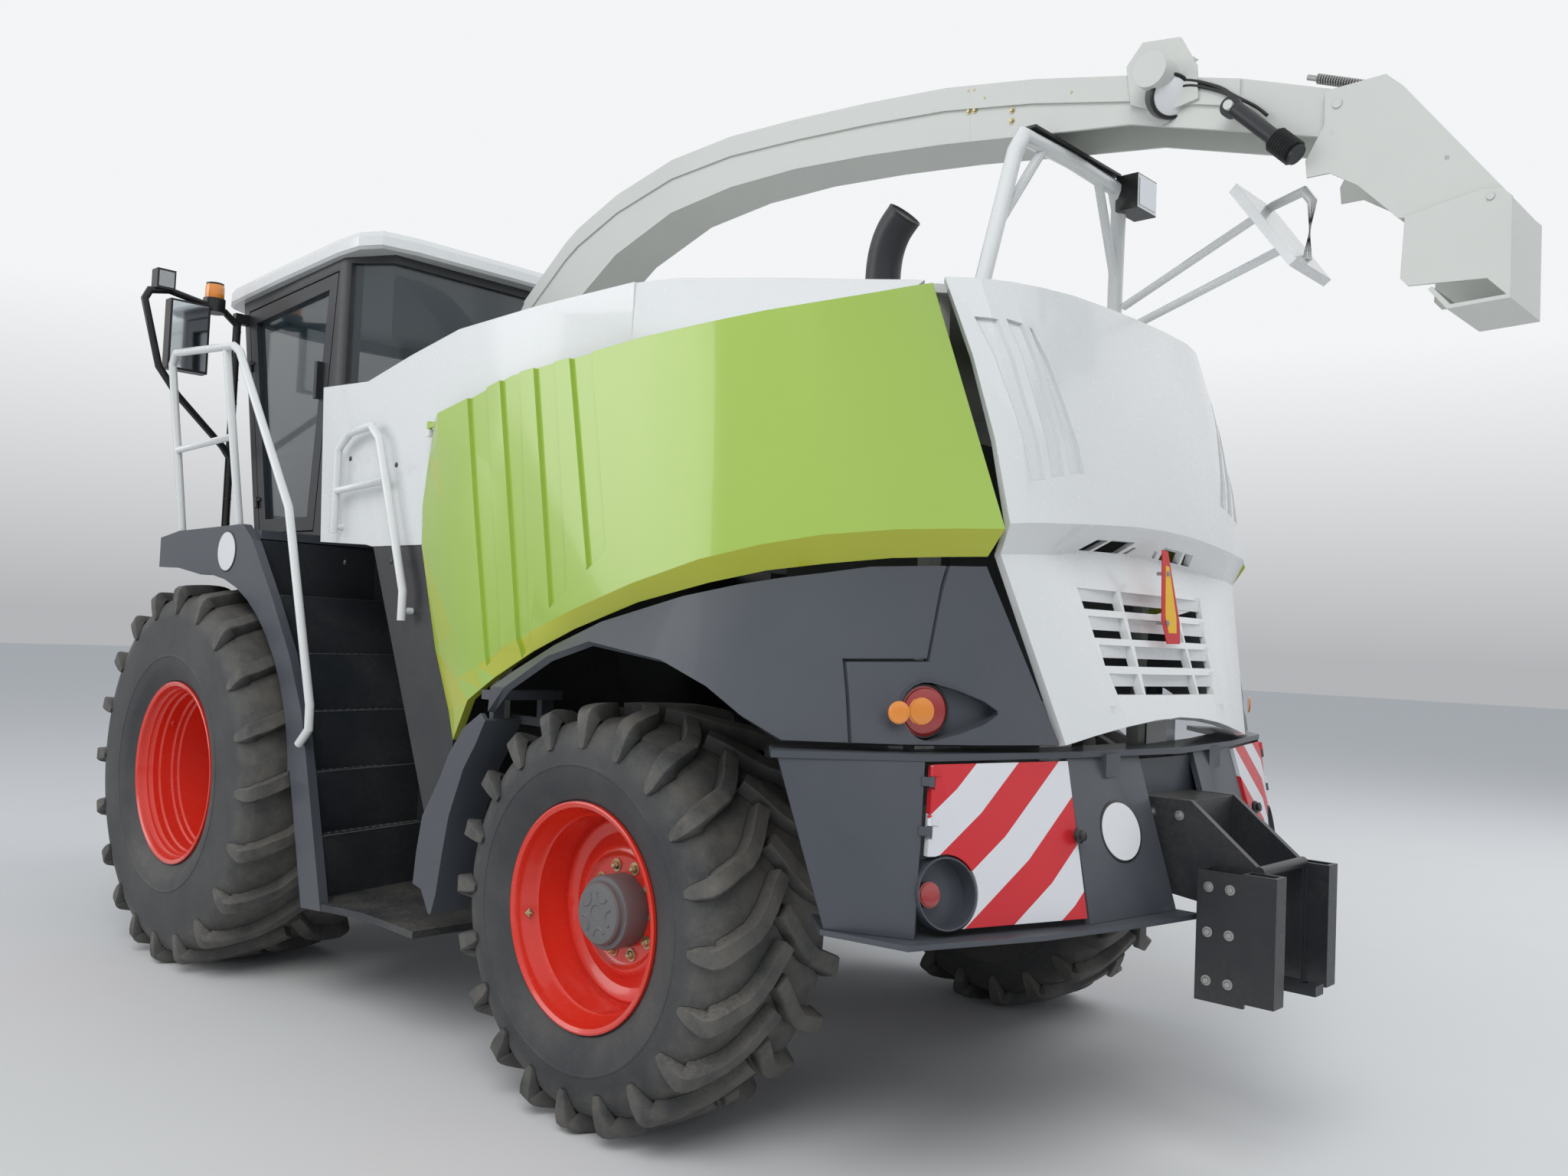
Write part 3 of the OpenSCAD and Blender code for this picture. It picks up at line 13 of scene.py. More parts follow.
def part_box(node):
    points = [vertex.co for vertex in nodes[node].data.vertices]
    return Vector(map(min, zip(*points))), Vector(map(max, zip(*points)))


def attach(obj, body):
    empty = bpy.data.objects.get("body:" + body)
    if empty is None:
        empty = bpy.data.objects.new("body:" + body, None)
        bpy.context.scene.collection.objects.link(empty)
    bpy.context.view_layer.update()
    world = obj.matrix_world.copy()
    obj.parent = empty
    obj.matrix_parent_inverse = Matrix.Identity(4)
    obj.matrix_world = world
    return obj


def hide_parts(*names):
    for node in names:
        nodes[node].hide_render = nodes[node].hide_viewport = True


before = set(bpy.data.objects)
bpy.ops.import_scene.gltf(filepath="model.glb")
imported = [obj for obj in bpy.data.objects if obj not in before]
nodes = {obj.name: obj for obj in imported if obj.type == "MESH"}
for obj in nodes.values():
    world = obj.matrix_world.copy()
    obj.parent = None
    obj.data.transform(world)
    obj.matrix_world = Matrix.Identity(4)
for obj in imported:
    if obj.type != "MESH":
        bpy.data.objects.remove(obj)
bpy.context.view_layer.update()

# %% [markdown]
# ## The camera
# The photograph was taken from behind the machine's left rear corner with a fairly wide lens. The
# camera's place and turn were worked out from the two wheels, whose size is known. A camera looks along
# its own -Z, so the columns of its matrix are right, up and backwards.

# %% Camera
LENS_PX, IMAGE_W = 1692.9, 2048
YAW, PITCH, ROLL = 3.891596, 0.038808, 0.041797
AXLE_Y = -1.684
EYE = Vector((4.18433, 6.31138 + AXLE_Y, 1.65251))


def camera_axes(yaw, pitch, roll):
    ahead = Vector((math.cos(yaw) * math.cos(pitch), math.sin(yaw) * math.cos(pitch), math.sin(pitch)))
    right = Vector((math.sin(yaw), -math.cos(yaw), 0))
    up = right.cross(ahead)
    return right * math.cos(roll) + up * math.sin(roll), up * math.cos(roll) - right * math.sin(roll), ahead


right, up, ahead = camera_axes(YAW, PITCH, ROLL)
camera = bpy.data.objects.new("camera", bpy.data.cameras.new("camera"))
bpy.context.scene.collection.objects.link(camera)
camera.matrix_world = Matrix.Translation(EYE) @ Matrix((right, up, -ahead)).transposed().to_4x4()
camera.data.lens = LENS_PX * 36 / IMAGE_W
camera.data.clip_end = 200
bpy.context.scene.camera = camera
print("lens", round(camera.data.lens, 2), "mm")

# %% [markdown]
# ## Studio
# A picture of a real sky could light the machine, but its clouds would show in the paint. Here one big soft
# lamp stands for the sky over the viewer's shoulder and two weaker ones fill the shadows. Key and rim don't
# show in the shiny paint, where they would burn white spots. The pale backdrop counts only where the camera
# or a mirror-like surface looks at it, so the paint keeps its own colour.

# %% World
scene = bpy.context.scene
scene.view_settings.view_transform = "Standard"


def node_tree(owner):
    owner.use_nodes = True
    owner.node_tree.nodes.clear()
    return owner.node_tree, owner.node_tree.nodes, owner.node_tree.links


world = bpy.data.worlds.new("studio")
scene.world = world
tree, made, links = node_tree(world)
path = made.new("ShaderNodeLightPath")
seen, seen_too = made.new("ShaderNodeMath"), made.new("ShaderNodeMath")
seen.operation = seen_too.operation = "MAXIMUM"
sky = made.new("ShaderNodeBackground")
sky.inputs["Color"].default_value = (0.8, 0.86, 0.95, 1)
sky.inputs["Strength"].default_value = 0.5
backdrop = made.new("ShaderNodeBackground")
# The backdrop fades from the floor's own grey at the horizon to nearly white above it
way_out = made.new("ShaderNodeTexCoord")
height = made.new("ShaderNodeSeparateXYZ")
fade = made.new("ShaderNodeMapRange")
fade.inputs["From Max"].default_value = 0.22
tone = made.new("ShaderNodeMix")
tone.data_type = "RGBA"
tone.inputs["A"].default_value = (0.45, 0.46, 0.475, 1)
tone.inputs["B"].default_value = (0.90, 0.91, 0.92, 1)
links.new(way_out.outputs["Generated"], height.inputs[0])
links.new(height.outputs["Z"], fade.inputs["Value"])
links.new(fade.outputs[0], tone.inputs["Factor"])
links.new(tone.outputs["Result"], backdrop.inputs["Color"])
choose = made.new("ShaderNodeMixShader")
out = made.new("ShaderNodeOutputWorld")
links.new(path.outputs["Is Camera Ray"], seen.inputs[0])
links.new(path.outputs["Is Glossy Ray"], seen.inputs[1])
links.new(seen.outputs[0], seen_too.inputs[0])
links.new(path.outputs["Is Transmission Ray"], seen_too.inputs[1])
links.new(seen_too.outputs[0], choose.inputs[0])
links.new(sky.outputs[0], choose.inputs[1])
links.new(backdrop.outputs[0], choose.inputs[2])
links.new(choose.outputs[0], out.inputs["Surface"])

# %% Lamps and floor


def lamp(name, place, target, size, power):
    data = bpy.data.lights.new(name, "AREA")
    data.shape = "DISK"
    data.size = size
    data.energy = power
    item = bpy.data.objects.new(name, data)
    scene.collection.objects.link(item)
    item.location = place
    item.rotation_mode = "QUATERNION"
    item.rotation_quaternion = (Vector(target) - Vector(place)).to_track_quat("-Z", "Y")
    return item


MIDDLE = (0, 0, 1.5)
lamp("fill", (12, -8, 6), MIDDLE, 9, 400)
lamp("key", (9, 7, 11), MIDDLE, 9, 900).visible_glossy = False
lamp("rim", (-9, 6, 9), MIDDLE, 8, 450).visible_glossy = False
floor_mesh = bpy.data.meshes.new("floor")
REACH = 60
corners = [(-REACH, -REACH, 0), (REACH, -REACH, 0), (REACH, REACH, 0), (-REACH, REACH, 0)]
floor_mesh.from_pydata(corners, [], [(0, 1, 2, 3)])
floor = bpy.data.objects.new("floor", floor_mesh)
scene.collection.objects.link(floor)
print("lamps", len(bpy.data.lights))

# %% [markdown]
# ## Finishes
# Every finish is built from noise textures that read the machine's own coordinates, in metres. Paint gets a
# faint change of colour, a thin clear coat, and dust that gathers low down and on faces that look up. Dust
# painted by hand would need every piece unwrapped, so it follows rules instead.

# %% Node helpers
DUST = (0.34, 0.31, 0.26, 1)


def add_node(made, kind, inputs=(), **settings):
    """Make one node, set its properties and its constant sockets."""
    item = made.new("ShaderNode" + kind)
    for key, value in settings.items():
        setattr(item, key, value)
    for key, value in dict(inputs).items():
        item.inputs[key].default_value = value
    return item


def ramp(made, links, source, low, high, to_low=0.0, to_high=1.0):
    """Rescale a grey value from low..high to to_low..to_high."""
    ends = {"From Min": low, "From Max": high, "To Min": to_low, "To Max": to_high}
    item = add_node(made, "MapRange", ends)
    links.new(source, item.inputs["Value"])
    return item.outputs[0]


def blend_colour(made, links, amount, first, second):
    """Mix two colours, each a socket or a constant, by a socket."""
    item = add_node(made, "Mix", data_type="RGBA")
    links.new(amount, item.inputs["Factor"])
    for slot, value in (("A", first), ("B", second)):
        if isinstance(value, tuple):
            item.inputs[slot].default_value = value
        else:
            links.new(value, item.inputs[slot])
    return item.outputs["Result"]


def multiply(made, links, first, second):
    item = add_node(made, "Math", operation="MULTIPLY")
    links.new(first, item.inputs[0])
    links.new(second, item.inputs[1])
    return item.outputs[0]


def paint_over(mat, colour, rule):
    """Lay a second colour over a finish where the rule, a function of the node tree, gives 1."""
    made, links = mat.node_tree.nodes, mat.node_tree.links
    shader = next(item for item in made if item.type == "BSDF_PRINCIPLED")
    under = shader.inputs["Base Color"].links[0].from_socket
    links.new(blend_colour(made, links, rule(made, links), under, (*colour, 1)), shader.inputs["Base Color"])
    return mat


# %% [markdown]
# One function makes most finishes. Edges of the CAD solids are knife sharp, and a real edge is rounded and
# catches the light, so a Bevel node bends the normal over the last few millimetres.

# %% The main finish


def finish(name, colour, rough=0.4, metal=0.0, coat=0.0, vary=0.06, dust=0.12, bump=0.02, grain=60.0,
           round_mm=2.5):
    """Paint, metal or plastic: noise changes the colour, dust dulls it."""
    mat = bpy.data.materials.new(name)
    tree, made, links = node_tree(mat)
    out = add_node(made, "OutputMaterial")
    look = {"Metallic": metal, "Coat Weight": coat, "Coat Roughness": 0.06}
    shader = add_node(made, "BsdfPrincipled", look)
    where = add_node(made, "TexCoord").outputs["Object"]
    patches = add_node(made, "TexNoise", {"Scale": 1.7, "Detail": 7.0, "Roughness": 0.6})
    fine = add_node(made, "TexNoise", {"Scale": grain, "Detail": 4.0})
    for item in (patches, fine):
        links.new(where, item.inputs["Vector"])
    low = tuple(c * (1 - vary) for c in colour) + (1,)
    high = tuple(min(1, c * (1 + vary)) for c in colour) + (1,)
    base = blend_colour(made, links, patches.outputs["Fac"], low, high)
    place = add_node(made, "SeparateXYZ")
    links.new(where, place.inputs[0])
    near_ground = ramp(made, links, place.outputs["Z"], 2.2, 0.3, 0.25, 1.0)
    speckle = ramp(made, links, fine.outputs["Fac"], 0.35, 0.75, 0.3, 1.0)
    cloud = ramp(made, links, patches.outputs["Fac"], 0.38, 0.72)
    facing = add_node(made, "SeparateXYZ")
    links.new(add_node(made, "NewGeometry").outputs["Normal"], facing.inputs[0])
    upward = ramp(made, links, facing.outputs["Z"], -0.2, 1.0, 0.35, 1.6)
    amount = multiply(made, links, near_ground, speckle)
    amount = multiply(made, links, amount, multiply(made, links, cloud, upward))
    amount = ramp(made, links, amount, 0.0, 1.0, 0.0, dust * 2)
    links.new(blend_colour(made, links, amount, base, DUST), shader.inputs["Base Color"])
    links.new(ramp(made, links, fine.outputs["Fac"], 0.2, 0.8, rough * 0.85, min(1, rough * 1.25)),
              shader.inputs["Roughness"])
    soft_edge = add_node(made, "Bevel", {"Radius": round_mm / 1000}, samples=4)
    relief = add_node(made, "Bump", {"Strength": bump, "Distance": 0.004})
    links.new(fine.outputs["Fac"], relief.inputs["Height"])
    links.new(soft_edge.outputs[0], relief.inputs["Normal"])
    links.new(relief.outputs[0], shader.inputs["Normal"])
    links.new(shader.outputs[0], out.inputs["Surface"])
    return mat


def glass(name, tint, alpha, rough=0.03):
    """Thin glass: part of the light goes straight through, and a film of dirt roughens it."""
    mat = bpy.data.materials.new(name)
    tree, made, links = node_tree(mat)
    out = add_node(made, "OutputMaterial")
    shader = add_node(made, "BsdfPrincipled", {"Base Color": (*tint, 1), "Alpha": alpha, "Coat Weight": 1.0})
    where = add_node(made, "TexCoord").outputs["Object"]
    film = add_node(made, "TexNoise", {"Scale": 3.0, "Detail": 5.0})
    links.new(where, film.inputs["Vector"])
    links.new(ramp(made, links, film.outputs["Fac"], 0.3, 0.8, rough, rough * 4), shader.inputs["Roughness"])
    links.new(shader.outputs[0], out.inputs["Surface"])
    return mat


# %% [markdown]
# The finishes are named for what they cover. The colours are linear values, so they look darker written
# down than on the screen.

# %% Finishes of this machine
white = finish("white_paint", (0.74, 0.755, 0.75), rough=0.24, coat=0.5, vary=0.02, dust=0.03)
green = finish("side_panel_paint", (0.36, 0.53, 0.075), rough=0.22, coat=0.6, vary=0.04, dust=0.03)
anthracite = finish("anthracite_plastic", (0.060, 0.068, 0.082), coat=0.1, dust=0.1, bump=0.05, grain=400)
black = finish("black_paint", (0.018, 0.020, 0.024), rough=0.38, dust=0.14)
stair_black = finish("stair_paint", (0.022, 0.026, 0.032), rough=0.42, dust=0.22)
# Painted highlight: a lighter grey for the strip along each stair tread's edge
tread_highlight = finish("painted_tread_highlight", (0.10, 0.11, 0.12), rough=0.5, dust=0.3)
chassis = finish("chassis_paint", (0.05, 0.055, 0.06), rough=0.5, dust=0.35)
pale = finish("chute_paint", (0.62, 0.635, 0.60), rough=0.42, coat=0.1, vary=0.06, dust=0.1)
deck = finish("deck_paint", (0.62, 0.63, 0.60), rough=0.5, dust=0.2)
red = finish("wheel_paint", (0.72, 0.028, 0.012), rough=0.24, coat=0.5, vary=0.05, dust=0.05)
hub_grey = finish("hub_grey", (0.13, 0.135, 0.14), rough=0.45, dust=0.15)
steel = finish("steel", (0.42, 0.42, 0.41), rough=0.35, metal=0.9)
brass = finish("plated_bolt", (0.52, 0.44, 0.26), rough=0.32, metal=0.9, round_mm=1)
cloth = finish("seat_cloth", (0.028, 0.028, 0.033), rough=0.9, bump=0.4, grain=700)
plastic = finish("black_plastic", (0.012, 0.012, 0.013), rough=0.3, bump=0.03, grain=200)
lens_amber = finish("amber_lens", (0.85, 0.27, 0.02), rough=0.12, coat=1.0, bump=0.2, grain=140, round_mm=1)
lens_red = finish("red_lens", (0.36, 0.012, 0.012), rough=0.12, coat=1.0, bump=0.2, grain=140, round_mm=1)
foil_red = finish("foil_red", (0.60, 0.022, 0.03), rough=0.3, dust=0.05, round_mm=0.5)
foil_white = finish("foil_white", (0.76, 0.765, 0.775), rough=0.35, dust=0.05, round_mm=0.5)
sign_yellow = finish("sign_yellow", (0.86, 0.50, 0.02), rough=0.35, dust=0.04, round_mm=0.5)
pane = glass("window_glass", (0.03, 0.05, 0.06), 0.42)
clear = glass("lamp_glass", (0.8, 0.82, 0.83), 0.3)
mirror_face = finish("mirror_glass", (0.62, 0.66, 0.70), rough=0.05, metal=1.0, bump=0.0, dust=0.02)
print("finishes", len(bpy.data.materials))

# %% Floor finish
floor_paint = finish("studio_floor", (0.80, 0.80, 0.79), rough=0.8, vary=0.02, dust=0.0, bump=0.0)
floor_mesh.materials.append(floor_paint)

# %% [markdown]
# ## Dress the solids that stay
# A solid whose shape is right keeps it and only gets a finish. Its mesh is never edited, but a modifier may
# shade it: a small Geometry Nodes group drops the stored normals, welds the loose triangles and leaves every
# edge sharp that bends more than a limit. The swelling panels have a lower limit, so that their creases show.

# %% Smooth shading by angle


def shading_group(limit):
    group = bpy.data.node_groups.new(f"soft_shading_{limit}", "GeometryNodeTree")
    group.interface.new_socket("Geometry", in_out="INPUT", socket_type="NodeSocketGeometry")
    group.interface.new_socket("Geometry", in_out="OUTPUT", socket_type="NodeSocketGeometry")
    new, join = group.nodes.new, group.links.new
    enter, leave = new("NodeGroupInput"), new("NodeGroupOutput")
    drop = new("GeometryNodeRemoveAttribute")
    drop.inputs["Name"].default_value = "custom_normal"
    weld = new("GeometryNodeMergeByDistance")
    weld.inputs["Distance"].default_value = 0.00005
    faces = new("GeometryNodeSetShadeSmooth")
    edges = new("GeometryNodeSetShadeSmooth")
    edges.domain = "EDGE"
    angle = new("GeometryNodeInputMeshEdgeAngle")
    flat = new("FunctionNodeCompare")
    flat.operation = "LESS_THAN"
    flat.inputs["B"].default_value = math.radians(limit)
    join(enter.outputs[0], drop.inputs["Geometry"])
    join(drop.outputs[0], weld.inputs["Geometry"])
    join(weld.outputs[0], faces.inputs["Geometry"])
    join(faces.outputs[0], edges.inputs["Geometry"])
    join(angle.outputs["Unsigned Angle"], flat.inputs["A"])
    join(flat.outputs[0], edges.inputs["Shade Smooth"])
    join(edges.outputs[0], leave.inputs[0])
    return group


shading = {limit: shading_group(limit) for limit in (22, 40)}


def dress(mat, *names, limit=40):
    """Give CAD solids a finish and shading by angle."""
    for name in names:
        item = nodes[name]
        item.data.materials.clear()
        item.data.materials.append(mat)
        item.modifiers.new("soft_shading", "NODES").node_group = shading[limit]


BOTH = ("left", "right")
SIDES = ((1, "left"), (-1, "right"))
dress(white, "cab_roof", "rear_hood", limit=22)
dress(white, "handrails", "light_frame", "rear_mirror", *("wall_panel_" + s for s in BOTH))
dress(green, *("side_panel_" + s for s in BOTH), limit=22)
dress(anthracite, "bumper", *("platform_" + s for s in BOTH))
dress(anthracite, *("rear_fender_" + s for s in BOTH), limit=22)
dress(black, "cab_body", "cab_door", "cab_bearers", "chute_cylinder", "exhaust_pipe", "drawbar_hitch",
      "fuel_tank")
dress(plastic, *("mirror_" + s for s in BOTH))
dress(stair_black, "stair")
dress(chassis, "chassis_frame", "cross_members", "front_axle", "rear_axle", "engine_block", "intake_housing",
      "crop_channel", "chute_base", "cab_floor", *("knuckle_" + s for s in BOTH))
dress(pale, "chute_boom", "chute_extension", "chute_end", "chute_flap", "chute_turntable", limit=22)
dress(deck, "top_deck")
dress(steel, "feed_roll_upper", "feed_roll_lower")
dress(cloth, "driver_seat", "steering_console")
dress(pane, "cab_glass", "door_glass")
print("dressed", sum(1 for item in nodes.values() if item.modifiers))

# %% [markdown]
# ## Tools for new pieces
# Points are given as on a drawing of the machine, in millimetres: across, behind the front axle, and up. One
# helper turns them into Blender's metres. The others make the few shapes that this kind of machine is
# built of: turned parts, bent tubes, cut plates and bolts. Curves and modifiers could make them too, but
# points worked out in a loop can all be joined into one plain mesh, and one piece then holds all its bolts.

# %% From the drawing to the scene


def at(point):
    return Vector((point[0] / 1000, point[1] / 1000 + AXLE_Y, point[2] / 1000))


def piece(name, verts, faces, mat, body="machine", sharp=35):
    """Object from points in metres, which rides on a body."""
    mesh = bpy.data.meshes.new(name)
    mesh.from_pydata([tuple(v) for v in verts], [], faces)
    mesh.validate()
    mesh.materials.append(mat)
    mesh.polygons.foreach_set("use_smooth", [True] * len(mesh.polygons))
    mesh.set_sharp_from_angle(angle=math.radians(sharp))
    item = bpy.data.objects.new(name, mesh)
    scene.collection.objects.link(item)
    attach(item, body)
    return item


# %% A heap of small shapes


class Heap:
    """Collects the points and faces of many small shapes that become one piece."""

    def __init__(self):
        self.verts, self.faces = [], []

    def put(self, verts, faces):
        start = len(self.verts)
        self.verts += [Vector(v) for v in verts]
        self.faces += [tuple(start + i for i in face) for face in faces]

    def rings(self, rings, closed=True, caps=True):
        """Skin between rings of equal length, each a list of points."""
        n = len(rings[0])
        faces = []
        for k in range(len(rings) - 1):
            for i in range(n if closed else n - 1):
                j = (i + 1) % n
                faces.append((k * n + i, k * n + j, (k + 1) * n + j, (k + 1) * n + i))
        if caps:
            faces.append(tuple(range(n - 1, -1, -1)))
            faces.append(tuple((len(rings) - 1) * n + i for i in range(n)))
        self.put([p for ring in rings for p in ring], faces)

    def done(self, name, mat, body="machine", sharp=35, slot=None):
        made = piece(name, self.verts, self.faces, mat, body, sharp)
        print(name, len(self.faces), "faces")
        return made


# %% Bars, turned parts and plates


def frame_of(ahead):
    """Two directions square to one another and to the direction ahead."""
    side = Vector((0, 0, 1)) if abs(ahead.z) < 0.9 else Vector((1, 0, 0))
    side = side.cross(ahead).normalized()
    return side, ahead.cross(side)


def smooth_way(points, steps):
    """Catmull-Rom curve through the points."""
    if steps < 2:
        return points
    way = []
    padded = [points[0]] + points + [points[-1]]
    for a, b, c, d in zip(padded, padded[1:], padded[2:], padded[3:]):
        for k in range(steps):
            t = k / steps
            bend, twist = 2 * a - 5 * b + 4 * c - d, 3 * b - 3 * c + d - a
            way.append(0.5 * (2 * b + (c - a) * t + bend * t * t + twist * t ** 3))
    return way + [points[-1]]


def tube(heap, points, radius, sides=12, steps=1):
    """Round bar along points given as on the drawing, in millimetres."""
    way = smooth_way([at(p) for p in points], steps)
    side, up = frame_of((way[1] - way[0]).normalized())
    rings = []
    for i, p in enumerate(way):
        ahead = (way[min(i + 1, len(way) - 1)] - way[max(i - 1, 0)]).normalized()
        side = (side - ahead * side.dot(ahead)).normalized()
        up = ahead.cross(side)
        rings.append([p + (side * math.cos(w) + up * math.sin(w)) * radius / 1000
                      for w in (2 * math.pi * k / sides for k in range(sides))])
    heap.rings(rings)


def turned(heap, centre, axis, outline, sides=32):
    """Turned part: outline as (radius, place along the axis) in millimetres, from one end to the other."""
    ahead = Vector(axis).normalized()
    side, up = frame_of(ahead)
    mid = at(centre)
    rings = [[mid + ahead * x / 1000 + (side * math.cos(w) + up * math.sin(w)) * max(r, 0.05) / 1000
              for w in (2 * math.pi * k / sides for k in range(sides))] for r, x in outline]
    heap.rings(rings)


def slab(heap, outline, push):
    """Flat plate: outline of points on the drawing, pushed by a vector in millimetres."""
    low = [at(p) for p in outline]
    high = [p + Vector(push) / 1000 for p in low]
    heap.rings([low, high])


def box_at(heap, low, high):
    (x0, y0, z0), (x1, y1, z1) = low, high
    slab(heap, [(x0, y0, z0), (x1, y0, z0), (x1, y1, z0), (x0, y1, z0)], (0, 0, z1 - z0))


def bolt(heap, place, axis, size=8):
    """Hexagon bolt with its washer; size is half the width over the corners."""
    turned(heap, place, axis, [(size * 1.5, 0), (size * 1.5, size * 0.25)], 16)
    turned(heap, place, axis, [(size, size * 0.25), (size, size * 0.8), (size * 0.8, size)], 6)


# %% [markdown]
# ## Tyres
# A tractor tyre is a smooth carcass with curved bars of rubber on it. The carcass is one profile turned
# about the axle. Each bar is swept from the middle over the shoulder and down the side wall, where it ends
# in a pad. The bars of one half point between those of the other, so that half starts half a pitch later.
# A bump map could draw the bars, but they stand out 5 cm and give the wheel its outline, so they are solid.

# %% Rubber
# Centre, radius, width, radius of the bead's seat and width of the rim
WHEELS = {"front": ((1262, 0, 897), 897, 780, 406, 686), "rear": ((1190, 2900, 705), 705, 590, 355, 508)}
LUG_H, LUGS, WHEEL_SIDES = 48, 20, 96


def rubber(name, colour, dusty):
    """Rubber that is paler where the attribute tread is high."""
    mat = finish(name, colour, rough=0.62, vary=0.25, dust=0.25, bump=0.25, grain=90, round_mm=4)

    def worn(made, links):
        mark = add_node(made, "Attribute", attribute_name="tread").outputs["Fac"]
        noise = add_node(made, "TexNoise", {"Scale": 9.0, "Detail": 8.0, "Roughness": 0.7})
        links.new(add_node(made, "TexCoord").outputs["Object"], noise.inputs["Vector"])
        return multiply(made, links, mark, ramp(made, links, noise.outputs["Fac"], 0.35, 0.7, 0.1, dusty))
    return paint_over(mat, (0.20, 0.185, 0.155), worn)


tyre_rubber = rubber("tyre_rubber", (0.030, 0.033, 0.038), 0.62)


def on_wheel(centre, side, x, radius, angle):
    """Point on the drawing from its place along the axle, its radius and its angle round the wheel."""
    y, z = centre[1] + radius * math.sin(angle), centre[2] + radius * math.cos(angle)
    return (side * (centre[0] + x), y, z)


def wheel_ring(heap, centre, side, outline, sides=WHEEL_SIDES):
    """Closed profile of (radius, place along the axle), turned about the axle."""
    n = len(outline)
    points, faces = [], []
    for k in range(sides):
        angle = 2 * math.pi * k / sides
        points += [at(on_wheel(centre, side, x, radius, angle)) for radius, x in outline]
        a, b = (k, (k + 1) % sides) if side > 0 else ((k + 1) % sides, k)
        faces += [(a * n + i, a * n + (i + 1) % n, b * n + (i + 1) % n, b * n + i) for i in range(n)]
    heap.put(points, faces)


def carcass_half(r, w, seat, rim_w):
    """Half profile from the bead to the middle of the tread, as (radius, place along the axle)."""
    edge, wall = rim_w / 2, w / 2
    bead = [(0.5, edge - 9), (14, edge - 4), (27, edge - 2), (30, edge + 3), (52, edge + 10), (80, wall - 16),
            (110, wall - 7), (140, wall - 3), (143, wall - 0.5), (149, wall - 0.5), (152, wall - 3)]
    shoulder = [(165, wall - 7), (125, wall - 17), (95, wall - 28), (72, wall - 48), (60, wall - 72),
                (53, wall - 110), (49, w / 4), (LUG_H, 0)]
    return [(seat + up, x) for up, x in bead] + [(r - down, x) for down, x in shoulder]


# %% [markdown]
# The bar's table gives the way that its top runs: place along the axle, depth under the tread radius, how far
# the surface has turned towards the side (0 up, 1 sideways), half width and height. Each cross-section
# has a chamfer, because new lugs leave the mould with a slanted flank.

# %% One lug


def lug_way(w):
    """Rows: place along the axle, depth, turn, half width, height, shift round the wheel."""
    half, rows = w / 2, []
    for part in (-0.03, 0.1, 0.22, 0.34, 0.46, 0.58, 0.70, 0.80):
        x = part * half
        bend = min(1, max(0, part) / 0.56)
        s = 0.30 * w * (1 - (1 - bend) ** 1.6) + max(0, part - 0.56) / 0.44 * (0.08 * w + 9)
        drop = 0 if part < 0.6 else (part - 0.6) * 30
        rows.append((x, drop, 0.02 + max(0, part - 0.5) * 0.5, 27 + 7 * max(part, 0), 62, s))
    last = rows[-1][-1]
    rows += [(half - 34, 11, 0.3, 33, 62, last + 10), (half - 17, 20, 0.5, 33, 60, last + 17),
             (half - 6, 34, 0.72, 33, 54, last + 22), (half - 2, 58, 0.92, 32, 44, last + 24),
             (half - 0.6, 84, 1.0, 31, 34, last + 25), (half - 0.6, 118, 1.0, 27, 24, last + 26),
             (half - 1.5, 146, 1.0, 14, 18, last + 26)]
    return rows


def lug(heap, marks, centre, side, r, w, hand, start):
    """One bar, with a mark for each point: 1 where the road wears it, less in the grooves."""
    way = lug_way(w)
    flat = [Vector((x, -depth, s)) for x, depth, turn, wide, high, s in way]
    rings = []
    for i, (x, depth, turn, wide, high, s) in enumerate(way):
        ahead = (flat[min(i + 1, len(way) - 1)] - flat[max(i - 1, 0)]).normalized()
        out = Vector((math.sin(turn * math.pi / 2), math.cos(turn * math.pi / 2), 0))
        across = ahead.cross(out).normalized()
        ring = []
        for wing, drop in ((1.16, high), (1.0, 7), (0.84, 0), (-0.84, 0), (-1.0, 7), (-1.16, high)):
            p = flat[i] + across * wing * wide - out * drop
            ring.append(at(on_wheel(centre, side, hand * p.x, r + p.y, start + p.z / r)))
        rings.append(ring if side * hand > 0 else ring[::-1])
    heap.rings(rings)
    marks += [0.35, 0.8, 1.0, 1.0, 0.8, 0.35] * len(rings)


# %% Four tyres


def tyre(name, kind, side):
    """Carcass and bars of one tyre, which stand for the plain CAD tyre."""
    centre, r, w, seat, rim_w = WHEELS[kind]
    heap, marks = Heap(), []
    half = carcass_half(r, w, seat, rim_w)
    wheel_ring(heap, centre, side, half + [(radius, -x) for radius, x in half[-2::-1]])
    tread = [0.9 if radius > r - 80 else 0.55 if radius > r - 150 else 0.12 for radius, x in half]
    marks += (tread + tread[-2::-1]) * WHEEL_SIDES
    for hand, offset in ((1, 0), (-1, 0.5)):
        for k in range(LUGS):
            lug(heap, marks, centre, side, r, w, hand, 2 * math.pi * (k + offset) / LUGS)
    body = name.replace("tyre", "wheel")
    made = heap.done(name + "_rubber", tyre_rubber, body, sharp=32, slot="tyre")
    layer = made.data.attributes.new("tread", "FLOAT", "POINT")
    layer.data.foreach_set("value", marks)
    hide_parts(name)
    return made


for kind in WHEELS:
    for side, word in SIDES:
        tyre(f"{kind}_tyre_{word}", kind, side)

# %% [markdown]
# ## Rims
# A rim is rolled from sheet: a flange that holds the tyre's bead, a seat, a deep well, and a disc pressed
# with a hump that makes it stiff. A Screw modifier could turn an open line and a second one thicken it. Here
# one closed profile turned about the axle gives the sheet both its faces, each with its own steps.

